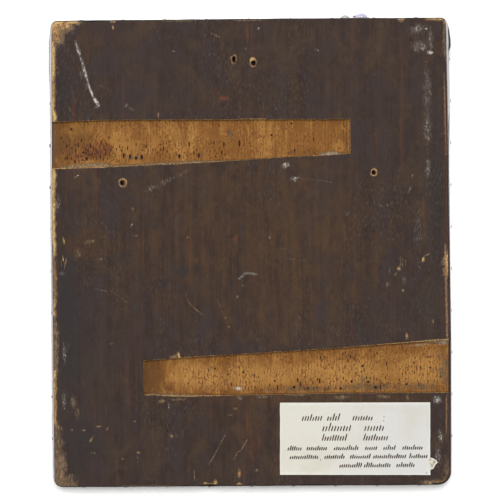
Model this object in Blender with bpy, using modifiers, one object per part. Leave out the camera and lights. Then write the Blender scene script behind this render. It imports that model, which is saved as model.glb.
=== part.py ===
"""An embroidered icon lying on its face, with the back of its board up.

Metres. +Z points out of the icon's back, +Y towards the icon's top, and the icon rests at z = 0 on
the front of its sheet-metal cover. Places are given from the middle of the board, and at the end
everything moves a little so that the origin lies under the middle of the whole icon.
"""

import math

import bmesh
import bpy
from mathutils import Matrix, Vector

# The board: a plank six by seven vershok, with a right edge that swells a little.
BOARD_BOTTOM = 0.0009
BOARD_TOP = 0.0290
BOARD_ARRIS = 0.0012
# x and y of each outline point, its corner radius, and how far the cover's free edge flares there
BOARD_OUTLINE = (
    (-0.1320, -0.1553, 0.0030, 0.0002),
    (0.1324, -0.1556, 0.0060, 0.0005),
    (0.1330, -0.0580, 0.0, 0.0006),
    (0.1321, 0.1000, 0.0, 0.0020),
    (0.1313, 0.1556, 0.0023, 0.0022),
    (-0.1316, 0.1553, 0.0017, 0.0012),
    (-0.1324, 0.0200, 0.0, 0.0006),
)
ARC_STEPS = 4

# The grooves for the two lost splines: x, lower edge and upper edge at each station, at the surface
GROOVE_DEPTH = 0.0065
GROOVE_UNDERCUT = 0.0012
GROOVE_RUNOUT = 0.0060
CUT_ABOVE = 0.0020
UPPER_GROOVE = (
    (-0.1322, 0.0570, 0.0881),
    (-0.0970, 0.0579, 0.0891),
    (-0.0393, 0.0603, 0.0890),
    (0.0670, 0.0658, 0.0886),
)
LOWER_GROOVE = (
    (-0.0717, -0.0941, -0.0717),
    (-0.0478, -0.0953, -0.0700),
    (0.0632, -0.0942, -0.0639),
    (0.1326, -0.0943, -0.0588),
)

# The front recess that holds the embroidered cloth
RECESS_DEPTH = 0.0025
MARGIN_ACROSS = 0.0300
MARGIN_ALONG = 0.0340
OPENING_RADIUS = 0.0015
CLOTH_THICKNESS = 0.0016

# The cover: silvered sheet on the front margins, turned down over the sides
SHEET = 0.0005
GAP = 0.00035
CLEARANCE = 0.0003
COVER_WALL = 0.0215
COVER_FOLD = 0.0008
COVER_LIP = 0.0030
END_FLARE = 0.0003

# The nails that pin the cover's walls to the sides, in a row at one height
NAIL_HEIGHT = 0.0165
NAIL_PITCH = 0.0281
NAILS_ALONG = 10
NAILS_ACROSS = 9
FIRST_NAIL_ALONG = 0.1290
FIRST_NAIL_ACROSS = 0.1120
NAIL_HEAD_RADIUS = 0.0013
NAIL_HEAD_HEIGHT = 0.0009
NAIL_SHANK_RADIUS = 0.0006
NAIL_LENGTH = 0.0075
NAIL_TIP = 0.0015
NAIL_STEPS = 10
NAIL_HOLE_EXTRA = 0.0010

# Old nail holes in the back, each with a chipped rim: places, then the shared profile
BACK_HOLES = ((-0.0104, 0.1289), (0.0029, 0.1265), (-0.0855, 0.0471), (0.0825, 0.0528))
BACK_HOLE_RADIUS = 0.0012
BACK_HOLE_RIM = 0.0029
BACK_HOLE_RIM_DEPTH = 0.0009
BACK_HOLE_DEPTH = 0.0120
BACK_HOLE_TIP = 0.0010
HOLE_STEPS = 12

# The ornament on the top wall
STONE_PLACE = 0.0755
ORNAMENT_HEIGHT = 0.0140
STONE_RADIUS = 0.0032
STONE_STRETCH = 1.30
STONE_RISE = 0.0020
STONE_RINGS = 5
STONE_STEPS = 16
CUP_WALL = 0.0006
CUP_HEIGHT = 0.0009
CUP_SUNK = 0.0002
PLATE_SIZE = (0.0210, 0.0005, 0.0086)
PLATE_PLACE = 0.0705
LEAF_PLACE = 0.0640
LEAF_SIZE = (0.0028, 0.0012, 0.0034)
BEAD_PLACE = 0.0691
BEAD_RADIUS = 0.0008

# Paper on the back
LABEL_SIZE = (0.1002, 0.0482, 0.0002)
LABEL_PLACE = (0.0688, -0.1247)
LABEL_TURN = math.radians(-0.3)
SCRAP_OUTLINE = (
    (0.1193, -0.1446),
    (0.1212, -0.1461),
    (0.1229, -0.1437),
    (0.1234, -0.1414),
    (0.1244, -0.1396),
    (0.1227, -0.1381),
    (0.1211, -0.1371),
    (0.1196, -0.1372),
)
SCRAP_THICKNESS = 0.0002


def clear_scene():
    for leftover in list(bpy.data.objects):
        bpy.data.objects.remove(leftover, do_unlink=True)


def new_collection(name):
    collection = bpy.data.collections.new(name)
    bpy.context.scene.collection.children.link(collection)
    return collection


def new_material(name, colour, roughness, metallic=0.0):
    material = bpy.data.materials.new(name)
    material.use_nodes = True
    shader = material.node_tree.nodes["Principled BSDF"]
    shader.inputs["Base Color"].default_value = (*colour, 1.0)
    shader.inputs["Roughness"].default_value = roughness
    shader.inputs["Metallic"].default_value = metallic
    return material


def new_object(name, mesh, collection):
    holder = bpy.data.objects.new(name, mesh)
    collection.objects.link(holder)
    holder.parent = icon
    return holder


def make_cutter(cutter):
    """Marks a mesh as a tool that only cuts others."""
    cutter.hide_render = True
    cutter.display_type = "WIRE"
    return cutter


def cut(target, cutter, operation="DIFFERENCE"):
    boolean = target.modifiers.new(cutter.name, "BOOLEAN")
    boolean.operation = operation
    boolean.solver = "EXACT"
    boolean.object = cutter


def smooth(holder, degrees=35):
    holder.data.shade_smooth()
    holder.data.set_sharp_from_angle(angle=math.radians(degrees))


def rounded(corners):
    """The closed outline through corners, with an arc at each one that has a radius."""
    points = []
    for index, (corner, radius) in enumerate(corners):
        if not radius:
            points.append(corner)
            continue
        before = (corners[index - 1][0] - corner).normalized()
        after = (corners[(index + 1) % len(corners)][0] - corner).normalized()
        half = before.angle(after) / 2
        centre = corner + (before + after).normalized() * radius / math.sin(half)
        start = corner + before * radius / math.tan(half) - centre
        for step in range(ARC_STEPS + 1):
            turn = (math.pi - 2 * half) * step / ARC_STEPS
            points.append(centre + Matrix.Rotation(turn, 2) @ start)
    return points


def board_ring(across=0.0, along=0.0, flare=0.0):
    """The board's outline moved out by across at the sides and by along at the ends.

    flare is the share of each point's own flare that is added to that.
    """
    corners = []
    for x, y, radius, own_flare in BOARD_OUTLINE:
        out = math.copysign(1.0, x) * (across + flare * own_flare)
        up = math.copysign(1.0, y) * (along + flare * END_FLARE) if radius else 0.0
        grown = max(radius + across, OPENING_RADIUS) if radius else 0.0
        corners.append((Vector((x + out, y + up)), grown))
    return rounded(corners)


def ring_place(ring, axis, value, sign):
    """The point of a ring with this value on one axis, on the side of the other that sign names."""
    for a, b in zip(ring, ring[1:] + ring[:1], strict=True):
        low, high = sorted((a[axis], b[axis]))
        if low <= value < high and a[1 - axis] * sign > 0:
            return a.lerp(b, (value - a[axis]) / (b[axis] - a[axis]))
    raise ValueError("the ring has no such place")


def prism(name, outline, low, high, collection):
    """A flat outline given height, as a mesh."""
    curve = bpy.data.curves.new(name, "CURVE")
    curve.dimensions = "2D"
    curve.fill_mode = "BOTH"
    curve.extrude = (high - low) / 2
    spline = curve.splines.new("POLY")
    spline.points.add(len(outline) - 1)
    for point, place in zip(spline.points, outline, strict=True):
        point.co = (*place, 0.0, 1.0)
    spline.use_cyclic_u = True
    drawn = bpy.data.objects.new(name + "_outline", curve)
    collection.objects.link(drawn)
    drawn.location.z = (low + high) / 2
    bpy.context.view_layer.update()
    evaluated = drawn.evaluated_get(bpy.context.evaluated_depsgraph_get())
    mesh = bpy.data.meshes.new_from_object(evaluated)
    mesh.name = name
    holder = new_object(name, mesh, collection)
    holder.matrix_world = drawn.matrix_world.copy()
    bpy.data.objects.remove(drawn, do_unlink=True)
    bpy.data.curves.remove(curve)
    weld = bmesh.new()
    weld.from_mesh(mesh)
    bmesh.ops.remove_doubles(weld, verts=weld.verts, dist=1e-6)
    bmesh.ops.recalc_face_normals(weld, faces=weld.faces)
    weld.to_mesh(mesh)
    weld.free()
    return holder


def lofted(name, rings, collection, closed_ends):
    """Quads between rings of as many points each, and a face over each end if the ends are closed."""
    work = bmesh.new()
    loops = [[work.verts.new(point) for point in ring] for ring in rings]
    for lower, upper in zip(loops, loops[1:], strict=False):
        for i in range(len(lower)):
            after = (i + 1) % len(lower)
            work.faces.new((lower[i], lower[after], upper[after], upper[i]))
    if closed_ends:
        work.faces.new(loops[0][::-1])
        work.faces.new(loops[-1])
        bmesh.ops.recalc_face_normals(work, faces=work.faces)
    mesh = bpy.data.meshes.new(name)
    work.to_mesh(mesh)
    work.free()
    return new_object(name, mesh, collection)


def profile_mesh(name, profile, closed=False):
    """A mesh of one line of (radius, height) points, for turned() to spin."""
    points = [(radius, 0.0, height) for radius, height in profile]
    edges = [(i, i + 1) for i in range(len(points) - 1)]
    if closed:
        edges.append((len(points) - 1, 0))
    mesh = bpy.data.meshes.new(name)
    mesh.from_pydata(points, edges, [])
    return mesh


def box(name, size):
    """A box about its own origin."""
    bpy.ops.mesh.primitive_cube_add(size=1.0)
    holder = bpy.context.object
    holder.name = name
    holder.scale = size
    bpy.ops.object.transform_apply(location=False, rotation=False, scale=True)
    for other in list(holder.users_collection):
        other.objects.unlink(holder)
    parts.objects.link(holder)
    holder.parent = icon
    return holder


def turned(name, mesh, steps, collection):
    """A profile mesh spun about its own Z."""
    holder = new_object(name, mesh, collection)
    screw = holder.modifiers.new("turn", "SCREW")
    screw.steps = steps
    screw.render_steps = steps
    screw.use_merge_vertices = True
    screw.merge_threshold = 0.00001
    screw.use_smooth_shade = True
    return holder


def groove_cutter(name, stations, mouth):
    """A tapered dovetail. mouth is the end that runs out of the board: 0 for the first, -1 for the last."""
    stations = list(stations)
    x, low, high = stations[mouth]
    stations[mouth] = (x + math.copysign(GROOVE_RUNOUT, x), low, high)
    floor = BOARD_TOP - GROOVE_DEPTH
    lean = GROOVE_UNDERCUT / GROOVE_DEPTH * CUT_ABOVE
    rings = [
        (
            (x, low - GROOVE_UNDERCUT, floor),
            (x, high + GROOVE_UNDERCUT, floor),
            (x, high - lean, BOARD_TOP + CUT_ABOVE),
            (x, low + lean, BOARD_TOP + CUT_ABOVE),
        )
        for x, low, high in stations
    ]
    return make_cutter(lofted(name, rings, cutters, closed_ends=True))


def back_hole_cutters():
    slope = (BACK_HOLE_RIM - BACK_HOLE_RADIUS) / BACK_HOLE_RIM_DEPTH
    profile = (
        (0.0, CUT_ABOVE),
        (BACK_HOLE_RIM + slope * CUT_ABOVE, CUT_ABOVE),
        (BACK_HOLE_RADIUS, -BACK_HOLE_RIM_DEPTH),
        (BACK_HOLE_RADIUS, -BACK_HOLE_DEPTH),
        (0.0, -BACK_HOLE_DEPTH - BACK_HOLE_TIP),
    )
    mesh = profile_mesh("back_hole_profile", profile)
    for number, (x, y) in enumerate(BACK_HOLES, start=1):
        cutter = turned(f"back_hole_{number}", mesh, HOLE_STEPS, cutters)
        cutter.location = (x, y, BOARD_TOP)
        yield make_cutter(cutter)


def nail_places():
    """Where each nail's head meets the cover's wall, and the direction in which it looks."""
    grown = GAP + SHEET
    ring = board_ring(grown, grown, NAIL_HEIGHT / COVER_WALL)
    rows = (
        (1, FIRST_NAIL_ALONG, NAILS_ALONG),
        (0, FIRST_NAIL_ACROSS, NAILS_ACROSS),
    )
    for axis, first, count in rows:
        for sign in (-1, 1):
            outward = Vector((0.0, 0.0, 0.0))
            outward[1 - axis] = sign
            for number in range(count):
                place = ring_place(ring, axis, first - number * NAIL_PITCH, sign)
                yield Vector((*place, NAIL_HEIGHT)), outward


def side_hole_cutter():
    """One mesh of all the holes that the nails pass through."""
    work = bmesh.new()
    reach = NAIL_LENGTH + NAIL_HOLE_EXTRA
    for place, outward in nail_places():
        middle = place - outward * (reach / 2 - CUT_ABOVE)
        turn = outward.to_track_quat("Z", "Y").to_matrix().to_4x4()
        bmesh.ops.create_cone(
            work,
            cap_ends=True,
            segments=NAIL_STEPS,
            radius1=NAIL_SHANK_RADIUS + CLEARANCE,
            radius2=NAIL_SHANK_RADIUS + CLEARANCE,
            depth=reach + 2 * CUT_ABOVE,
            matrix=Matrix.Translation(middle) @ turn,
        )
    mesh = bpy.data.meshes.new("side_holes")
    work.to_mesh(mesh)
    work.free()
    return make_cutter(new_object("side_holes", mesh, cutters))


def make_board(side_holes):
    board = prism("wooden_board", board_ring(), BOARD_BOTTOM, BOARD_TOP, parts)
    board.data.materials.append(new_material("stained_wood", (0.062, 0.042, 0.034), 0.55))
    arris = board.modifiers.new("worn_arris", "BEVEL")
    arris.width = BOARD_ARRIS
    arris.segments = 2
    arris.limit_method = "ANGLE"
    arris.angle_limit = math.radians(60)
    recess_ring = board_ring(-MARGIN_ACROSS, -MARGIN_ALONG)
    recess_top = BOARD_BOTTOM + RECESS_DEPTH
    recess = prism("front_recess", recess_ring, BOARD_BOTTOM - CUT_ABOVE, recess_top, cutters)
    cut(board, make_cutter(recess))
    cut(board, groove_cutter("upper_groove", UPPER_GROOVE, mouth=0))
    cut(board, groove_cutter("lower_groove", LOWER_GROOVE, mouth=-1))
    for hole in back_hole_cutters():
        cut(board, hole)
    cut(board, side_holes)
    return board


def make_cover(side_holes):
    """A plate round the recess and the walls that run up from it, flared at their free edge."""
    grown = GAP + SHEET
    opening = board_ring(-MARGIN_ACROSS - COVER_LIP, -MARGIN_ALONG - COVER_LIP)
    rings = (
        [(x, y, 0.0) for x, y in opening],
        [(x, y, 0.0) for x, y in board_ring(grown, grown)],
        [(x, y, COVER_WALL) for x, y in board_ring(grown, grown, 1.0)],
    )
    cover = lofted("metal_cover", rings, parts, closed_ends=False)
    cover.data.materials.append(new_material("silvered_sheet", (0.62, 0.60, 0.56), 0.38, 1.0))
    fold = cover.modifiers.new("fold", "BEVEL")
    fold.width = COVER_FOLD
    fold.segments = 2
    fold.limit_method = "ANGLE"
    fold.angle_limit = math.radians(60)
    sheet = cover.modifiers.new("sheet", "SOLIDIFY")
    sheet.thickness = SHEET
    sheet.offset = -1.0
    sheet.use_even_offset = True
    cut(cover, side_holes)
    return cover


def make_nails():
    profile = (
        (0.0, NAIL_HEAD_HEIGHT),
        (NAIL_HEAD_RADIUS * 0.7, NAIL_HEAD_HEIGHT * 0.75),
        (NAIL_HEAD_RADIUS, 0.0),
        (NAIL_SHANK_RADIUS, 0.0),
        (NAIL_SHANK_RADIUS, NAIL_TIP - NAIL_LENGTH),
        (0.0, -NAIL_LENGTH),
    )
    mesh = profile_mesh("nail_profile", profile)
    mesh.materials.append(new_material("nail_metal", (0.42, 0.38, 0.32), 0.45, 1.0))
    for number, (place, outward) in enumerate(nail_places(), start=1):
        nail = turned(f"cover_nail_{number:02d}", mesh, NAIL_STEPS, parts)
        nail.location = place + outward * CLEARANCE
        nail.rotation_euler = outward.to_track_quat("Z", "Y").to_euler()


def make_cloth():
    inset = CLEARANCE + GAP
    outline = board_ring(-MARGIN_ACROSS - inset, -MARGIN_ALONG - inset)
    top = BOARD_BOTTOM + RECESS_DEPTH - CLEARANCE
    cloth = prism("embroidered_cloth", outline, top - CLOTH_THICKNESS, top, parts)
    cloth.data.materials.append(new_material("embroidery", (0.30, 0.04, 0.05), 0.85))


def wall_face():
    """The outer face of the cover's top wall behind the ornament, as a y."""
    grown = GAP + SHEET
    ring = board_ring(grown, grown, ORNAMENT_HEIGHT / COVER_WALL)
    return ring_place(ring, 0, STONE_PLACE, 1).y


def upright(holder, x, y):
    """Stands a turned piece on the top wall, with its own axis along +Y."""
    holder.rotation_euler = (-math.pi / 2, 0.0, 0.0)
    holder.location = (x, y, ORNAMENT_HEIGHT)
    return holder


def dome_profile(radius, rise, rings):
    """A dome's line from its top down its outer side, and back to the axis along its flat base."""
    steps = [math.pi / 2 * i / rings for i in range(rings + 1)]
    return [(radius * math.sin(a), rise * math.cos(a)) for a in steps] + [(0.0, 0.0)]


def make_setting(face):
    """A plate with an oval cup and a small domed leaf, made one."""
    plate = box("stone_setting", PLATE_SIZE)
    plate.location = (PLATE_PLACE, face + PLATE_SIZE[1] / 2, ORNAMENT_HEIGHT)
    plate.data.materials.append(bpy.data.materials["silvered_sheet"])
    outer = STONE_RADIUS + CLEARANCE + CUP_WALL
    inner = STONE_RADIUS + CLEARANCE
    wall = ((outer, CUP_HEIGHT), (outer, -CUP_SUNK), (inner, -CUP_SUNK), (inner, CUP_HEIGHT))
    cup_mesh = profile_mesh("cup_profile", wall, closed=True)
    leaf_mesh = profile_mesh("leaf_profile", dome_profile(1.0, 1.0, STONE_RINGS))
    cup = upright(turned("setting_cup", cup_mesh, STONE_STEPS, cutters), STONE_PLACE, face)
    cup.scale.x = STONE_STRETCH
    leaf = upright(turned("setting_leaf", leaf_mesh, STONE_STEPS, cutters), LEAF_PLACE, face)
    leaf.scale = (LEAF_SIZE[0], LEAF_SIZE[2], LEAF_SIZE[1] + CUP_SUNK)
    for piece, sunk in ((cup, 0.0), (leaf, CUP_SUNK)):
        piece.location.y += PLATE_SIZE[1] - sunk
        cut(plate, make_cutter(piece), "UNION")


def make_stones(face):
    stone_line = dome_profile(STONE_RADIUS, STONE_RISE, STONE_RINGS)
    stone_mesh = profile_mesh("stone_profile", stone_line)
    stone_mesh.materials.append(new_material("lilac_glass", (0.70, 0.62, 0.82), 0.08))
    stone = turned("lilac_stone", stone_mesh, STONE_STEPS, parts)
    upright(stone, STONE_PLACE, face + PLATE_SIZE[1] + CLEARANCE)
    stone.scale.x = STONE_STRETCH
    bead_work = bmesh.new()
    bmesh.ops.create_uvsphere(bead_work, u_segments=10, v_segments=6, radius=BEAD_RADIUS)
    bead_mesh = bpy.data.meshes.new("purple_bead")
    bead_work.to_mesh(bead_mesh)
    bead_work.free()
    bead_mesh.shade_smooth()
    bead_mesh.materials.append(new_material("purple_glass", (0.10, 0.02, 0.14), 0.1))
    bead = new_object("purple_bead", bead_mesh, parts)
    bead.location = (
        BEAD_PLACE,
        face + PLATE_SIZE[1] + CLEARANCE + BEAD_RADIUS,
        ORNAMENT_HEIGHT,
    )


def make_papers():
    paper = new_material("paper", (0.76, 0.74, 0.66), 0.8)
    label = box("paper_label", LABEL_SIZE)
    label.location = (*LABEL_PLACE, BOARD_TOP + CLEARANCE + LABEL_SIZE[2] / 2)
    label.rotation_euler.z = LABEL_TURN
    label.data.materials.append(paper)
    low = BOARD_TOP + CLEARANCE
    scrap = prism("paper_scrap", SCRAP_OUTLINE, low, low + SCRAP_THICKNESS, parts)
    scrap.data.materials.append(paper)


def centre_under_the_whole():
    """Moves the parent so that the middle of the whole icon's box lies over the origin."""
    bpy.context.view_layer.update()
    graph = bpy.context.evaluated_depsgraph_get()
    corners = [
        holder.matrix_world @ Vector(corner)
        for holder in parts.objects
        if holder is not icon
        for corner in holder.evaluated_get(graph).bound_box
    ]
    for axis in (0, 1):
        reach = [corner[axis] for corner in corners]
        icon.location[axis] = -(min(reach) + max(reach)) / 2


clear_scene()
parts = new_collection("embroidered_icon")
cutters = new_collection("cutters")
icon = bpy.data.objects.new("icon", None)
parts.objects.link(icon)
shared_holes = side_hole_cutter()
smooth(make_board(shared_holes))
smooth(make_cover(shared_holes))
make_nails()
make_cloth()
ornament_face = wall_face() + CLEARANCE
make_setting(ornament_face)
make_stones(ornament_face)
make_papers()
centre_under_the_whole()
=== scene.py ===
"""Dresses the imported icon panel, which lies on its face with the back of its board up.

Plans of the board are in millimetres from its middle, and +Y is towards the icon's top.
"""

import math
import random

import bpy
import numpy as np
from bpy.props import FloatProperty, FloatVectorProperty, PointerProperty
from mathutils import Matrix, Vector
from mathutils.geometry import delaunay_2d_cdt


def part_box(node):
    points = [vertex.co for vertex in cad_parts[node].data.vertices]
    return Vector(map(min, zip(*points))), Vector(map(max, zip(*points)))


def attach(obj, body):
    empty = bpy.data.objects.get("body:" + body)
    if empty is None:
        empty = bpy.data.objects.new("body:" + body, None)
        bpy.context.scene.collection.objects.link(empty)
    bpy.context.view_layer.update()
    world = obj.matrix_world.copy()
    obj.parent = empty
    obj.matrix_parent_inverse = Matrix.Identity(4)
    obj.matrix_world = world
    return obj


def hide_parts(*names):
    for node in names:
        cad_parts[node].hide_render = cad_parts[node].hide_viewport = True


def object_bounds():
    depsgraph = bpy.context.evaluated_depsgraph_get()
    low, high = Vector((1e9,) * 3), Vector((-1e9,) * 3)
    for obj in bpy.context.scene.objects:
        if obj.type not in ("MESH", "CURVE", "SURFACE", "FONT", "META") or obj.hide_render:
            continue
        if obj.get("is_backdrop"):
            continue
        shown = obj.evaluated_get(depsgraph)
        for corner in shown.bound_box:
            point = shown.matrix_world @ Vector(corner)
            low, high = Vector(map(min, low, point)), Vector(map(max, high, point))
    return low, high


bl_info = {
    "name": "Icon panel lying face down",
    "version": (1, 0, 0),
    "blender": (4, 5, 0),
    "location": "View3D > Sidebar > Icon panel",
    "description": "Builds the worn board, sheet cover, cloth, stones and papers on the packed icon",
    "category": "Object",
}

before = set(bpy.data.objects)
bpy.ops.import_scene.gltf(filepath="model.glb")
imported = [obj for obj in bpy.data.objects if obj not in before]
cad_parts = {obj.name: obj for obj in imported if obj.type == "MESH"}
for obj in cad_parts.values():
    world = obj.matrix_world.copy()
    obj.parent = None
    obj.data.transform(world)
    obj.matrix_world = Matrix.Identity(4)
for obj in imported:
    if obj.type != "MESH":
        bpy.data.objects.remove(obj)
CAD_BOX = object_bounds()
MM = 0.001
BOARD_LOW, BOARD_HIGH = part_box("wooden_board")

BACK = BOARD_HIGH.z / MM
SQUARE = np.array(((-1, -1), (1, -1), (1, 1), (-1, 1)))


def numbers(text):
    """A table written as rows of numbers with a comma after each row."""
    return [tuple(float(number) for number in row.split()) for row in text.split(",")]


def by_table(x, table):
    """A table's second number at each x, along straight lines between its rows."""
    return np.interp(x, *np.array(table).T)


# The board's plan: x, y and corner radius of each outline point
BOARD_PLAN = numbers("""
    -132 -155.3 5, 132.4 -155.6 8, 133 -58 0, 132.1 100 0, 131.3 155.6 3.2, -131.6 155.3 2.8, -132.4 20 0
""")
CORNER_STEPS = 6
PLAN_LOW = np.min([corner[:2] for corner in BOARD_PLAN], axis=0)
SHIFT = np.array(BOARD_LOW[:2]) - PLAN_LOW * MM  # from the board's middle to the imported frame


# ---- repeatable roughness


SCATTER = (374761393, 668265263, 974634777, 1274126177)  # large numbers that set neighbours apart


def lattice(i, j, seed):
    """A repeatable number from 0 to 1 at each whole-number place."""
    n = (i * SCATTER[0] + j * SCATTER[1] + seed * SCATTER[2]) & 0xFFFFFFFF
    n = ((n ^ (n >> 13)) * SCATTER[3]) & 0xFFFFFFFF
    return ((n ^ (n >> 16)) & 0xFFFF) / 65535.0


def ease(t):
    """Rises smoothly from 0 at 0 to 1 at 1."""
    t = np.clip(t, 0.0, 1.0)
    return t * t * (3 - 2 * t)


def soft_noise(x, y, seed=0):
    """Smooth noise from -1 to 1 with a feature in each unit."""
    x, y = np.broadcast_arrays(np.asarray(x, float), np.asarray(y, float))
    i, j = np.floor(x).astype(np.int64), np.floor(y).astype(np.int64)
    u, v = ease(x - i), ease(y - j)
    low = lattice(i, j, seed) * (1 - u) + lattice(i + 1, j, seed) * u
    high = lattice(i, j + 1, seed) * (1 - u) + lattice(i + 1, j + 1, seed) * u
    return (low * (1 - v) + high * v) * 2 - 1


def rough(x, y, seed=0, layers=3):
    """Noise with finer layers on it, about -1 to 1."""
    total, weight = 0.0, 0.0
    for layer in range(layers):
        gain = 0.5**layer
        total = total + gain * soft_noise(x * 2**layer, y * 2**layer, seed + 17 * layer)
        weight += gain
    return total / weight


# ---- plans and triangles


FAR = 1e9
SAME_PLACE = 1e-6
NO_AREA = 1e-9


def legs(points, closed):
    """The start and end of each straight stretch of a line."""
    points = np.asarray(points, float)
    ends = np.roll(points, -1, axis=0) if closed else points[1:]
    return list(zip(points[: len(ends)], ends, strict=True))


def divided(points, spacing, closed=True):
    """The same line with a point at least every spacing."""
    made = []
    for start, end in legs(points, closed):
        count = max(1, math.ceil(np.linalg.norm(end - start) / spacing))
        made += [start + (end - start) * k / count for k in range(count)]
    if not closed:
        made.append(end)
    return np.array(made)


def line_distance(places, points, closed=True):
    """How far each place is from a line of x, y, or in its half widths if the line has them."""
    nearest = np.full(len(places), FAR)
    for start, end in legs(points, closed):
        along = (end - start)[:2]
        share = np.clip((places - start[:2]) @ along / max(along @ along, 1e-12), 0, 1)
        gap = np.hypot(*(places - start[:2] - share[:, None] * along).T)
        if len(start) > 2:
            gap = gap / (start[2] + (end[2] - start[2]) * share)
        nearest = np.minimum(nearest, gap)
    return nearest


def inside(places, points):
    """True for each place within a closed line of points."""
    within = np.zeros(len(places), bool)
    for (x0, y0), (x1, y1) in legs(points, True):
        if y0 == y1:
            continue
        crosses = (places[:, 1] < y0) != (places[:, 1] < y1)
        meets = (x1 - x0) * (places[:, 1] - y0) / (y1 - y0) + x0
        within ^= crosses & (places[:, 0] < meets)
    return within


def turned(x, y, turn):
    """Places seen along and across a direction that is turned from +X."""
    c, s = math.cos(turn), math.sin(turn)
    return x * c + y * s, y * c - x * s


def triangulated(loops, lines, loose, outline, hole=None):
    """Triangles between closed loops, open lines and loose points, in the outline but not in the hole."""
    places, edges = [], []
    for points, closed in [(p, True) for p in loops] + [(p, False) for p in lines]:
        first, count = len(places), len(points)
        places += [Vector(p) for p in points]
        edges += [(first + k, first + (k + 1) % count) for k in range(count if closed else count - 1)]
    places += [Vector(p) for p in loose]
    found = delaunay_2d_cdt(places, edges, [], 0, SAME_PLACE)
    verts, faces = np.array([tuple(v) for v in found[0]]), np.array(found[2])
    middle = verts[faces].mean(axis=1)
    kept = inside(middle, outline)
    if hole is not None:
        kept &= ~inside(middle, hole)
    return used_only(verts, counter_clockwise(verts, faces[kept]))


def clear_of(loose, taken, gap):
    """The loose points that keep about gap away from the taken ones."""
    cells = set()
    for x, y in np.floor(np.concatenate(taken) / gap).astype(int):
        cells.update((x + i, y + j) for i in (-1, 0, 1) for j in (-1, 0, 1))
    spots = np.floor(loose / gap).astype(int)
    kept = [(x, y) not in cells for x, y in spots]
    return loose[np.array(kept)]


def used_only(verts, faces):
    """The vertices that faces use, and the faces numbered for them."""
    used = np.unique(faces)
    number = np.zeros(len(verts), int)
    number[used] = np.arange(len(used))
    return verts[used], number[faces]


def border_of(faces):
    """The one closed loop of vertices round a patch of triangles."""
    there = set(map(tuple, faces[:, [0, 1, 1, 2, 2, 0]].reshape(-1, 2).tolist()))
    after = {a: b for a, b in there if (b, a) not in there}
    loop = [next(iter(after))]
    while after[loop[-1]] != loop[0]:
        loop.append(after[loop[-1]])
    if len(loop) != len(after):
        raise RuntimeError("a patch has more than one border")
    return np.array(loop)


def counter_clockwise(verts, faces):
    """The triangles wound one way, without the ones that have no area."""
    a, b, c = (verts[faces[:, k]] for k in range(3))
    turn = (b[:, 0] - a[:, 0]) * (c[:, 1] - a[:, 1]) - (b[:, 1] - a[:, 1]) * (c[:, 0] - a[:, 0])
    flipped = faces.copy()
    flipped[turn < 0] = flipped[turn < 0][:, ::-1]
    return flipped[np.abs(turn) > NO_AREA]


def band(above, below):
    """Triangles between two closed rings of numbered points."""
    after = np.roll(above, -1)
    first = np.column_stack((above, below, after))
    second = np.column_stack((after, below, np.roll(below, -1)))
    return np.concatenate((first, second))


def skin(rows, steps, looped=False):
    """Faces between rows of closed rings of points, capped at both ends or looped round to the first."""
    step, total = np.arange(steps), rows * steps
    after = np.roll(step, -1)
    faces = []
    for low in np.arange(rows if looped else rows - 1) * steps:
        high = (low + steps) % total
        faces += np.column_stack((low + step, high + step, high + after, low + after)).tolist()
    return faces if looped else [*faces, step.tolist(), (step[::-1] + total - steps).tolist()]


def lathed(rings, steps, place=(0, 0, 0), out=(0, 1, 0), edge=None):
    """Rings of (half width, half height, rise) that stand out from a place, with an edge(turn, row) shape."""
    up = np.array((0, 1, 0) if out[2] else (0, 0, 1))
    side = np.cross(out, up)
    turn = np.arange(steps)[:, None] * math.tau / steps
    verts = []
    for row, (wide, high, rise) in enumerate(rings):
        spokes = wide * np.cos(turn) * side + high * np.sin(turn) * up
        verts.append(place + spokes * (edge(turn, row) if edge else 1) + rise * np.array(out))
    return np.concatenate(verts), skin(len(rings), steps)


def joined(parts):
    """One run of vertices and faces from several (vertices, faces) parts."""
    verts, faces, first = [], [], 0
    for part, part_faces in parts:
        verts.append(part)
        faces += [[first + k for k in face] for face in part_faces]
        first += len(part)
    return np.concatenate(verts), faces


# ---- pieces


def new_piece(name, mesh, replaces, material):
    """An object that rides with the icon, takes the given finish and stands for CAD nodes."""
    piece = bpy.data.objects.new(name, mesh)
    bpy.context.scene.collection.objects.link(piece)
    mesh.materials.append(material)
    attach(piece, "root")
    if replaces:
        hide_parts(*replaces)
    return piece


def array_mesh(name, verts, faces, attributes=None):
    """A mesh from arrays in metres, with its point attributes."""
    mesh = bpy.data.meshes.new(name)
    mesh.from_pydata(np.asarray(verts).tolist(), [], [list(map(int, f)) for f in faces])
    for key, values in (attributes or {}).items():
        layer = mesh.attributes.new(key, "FLOAT", "POINT")
        layer.data.foreach_set("value", np.asarray(values, np.float32))
    mesh.validate()
    return mesh


def placed(verts):
    """Points in millimetres from the board's middle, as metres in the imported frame."""
    verts = np.array(verts, float) * MM
    verts[:, :2] += SHIFT
    return verts


def node_box(name):
    """A CAD node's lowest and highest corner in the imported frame, in millimetres."""
    return [np.array(corner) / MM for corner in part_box(name)]


def at_height(plan, z):
    """Points of a plan at one height."""
    return np.column_stack((plan, np.full(len(plan), z)))


def smooth(mesh, sharp=50.0):
    """Shades a mesh smooth but for its edges that are sharper than this many degrees."""
    mesh.shade_smooth()
    mesh.set_sharp_from_angle(angle=math.radians(sharp))
    return mesh


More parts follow.
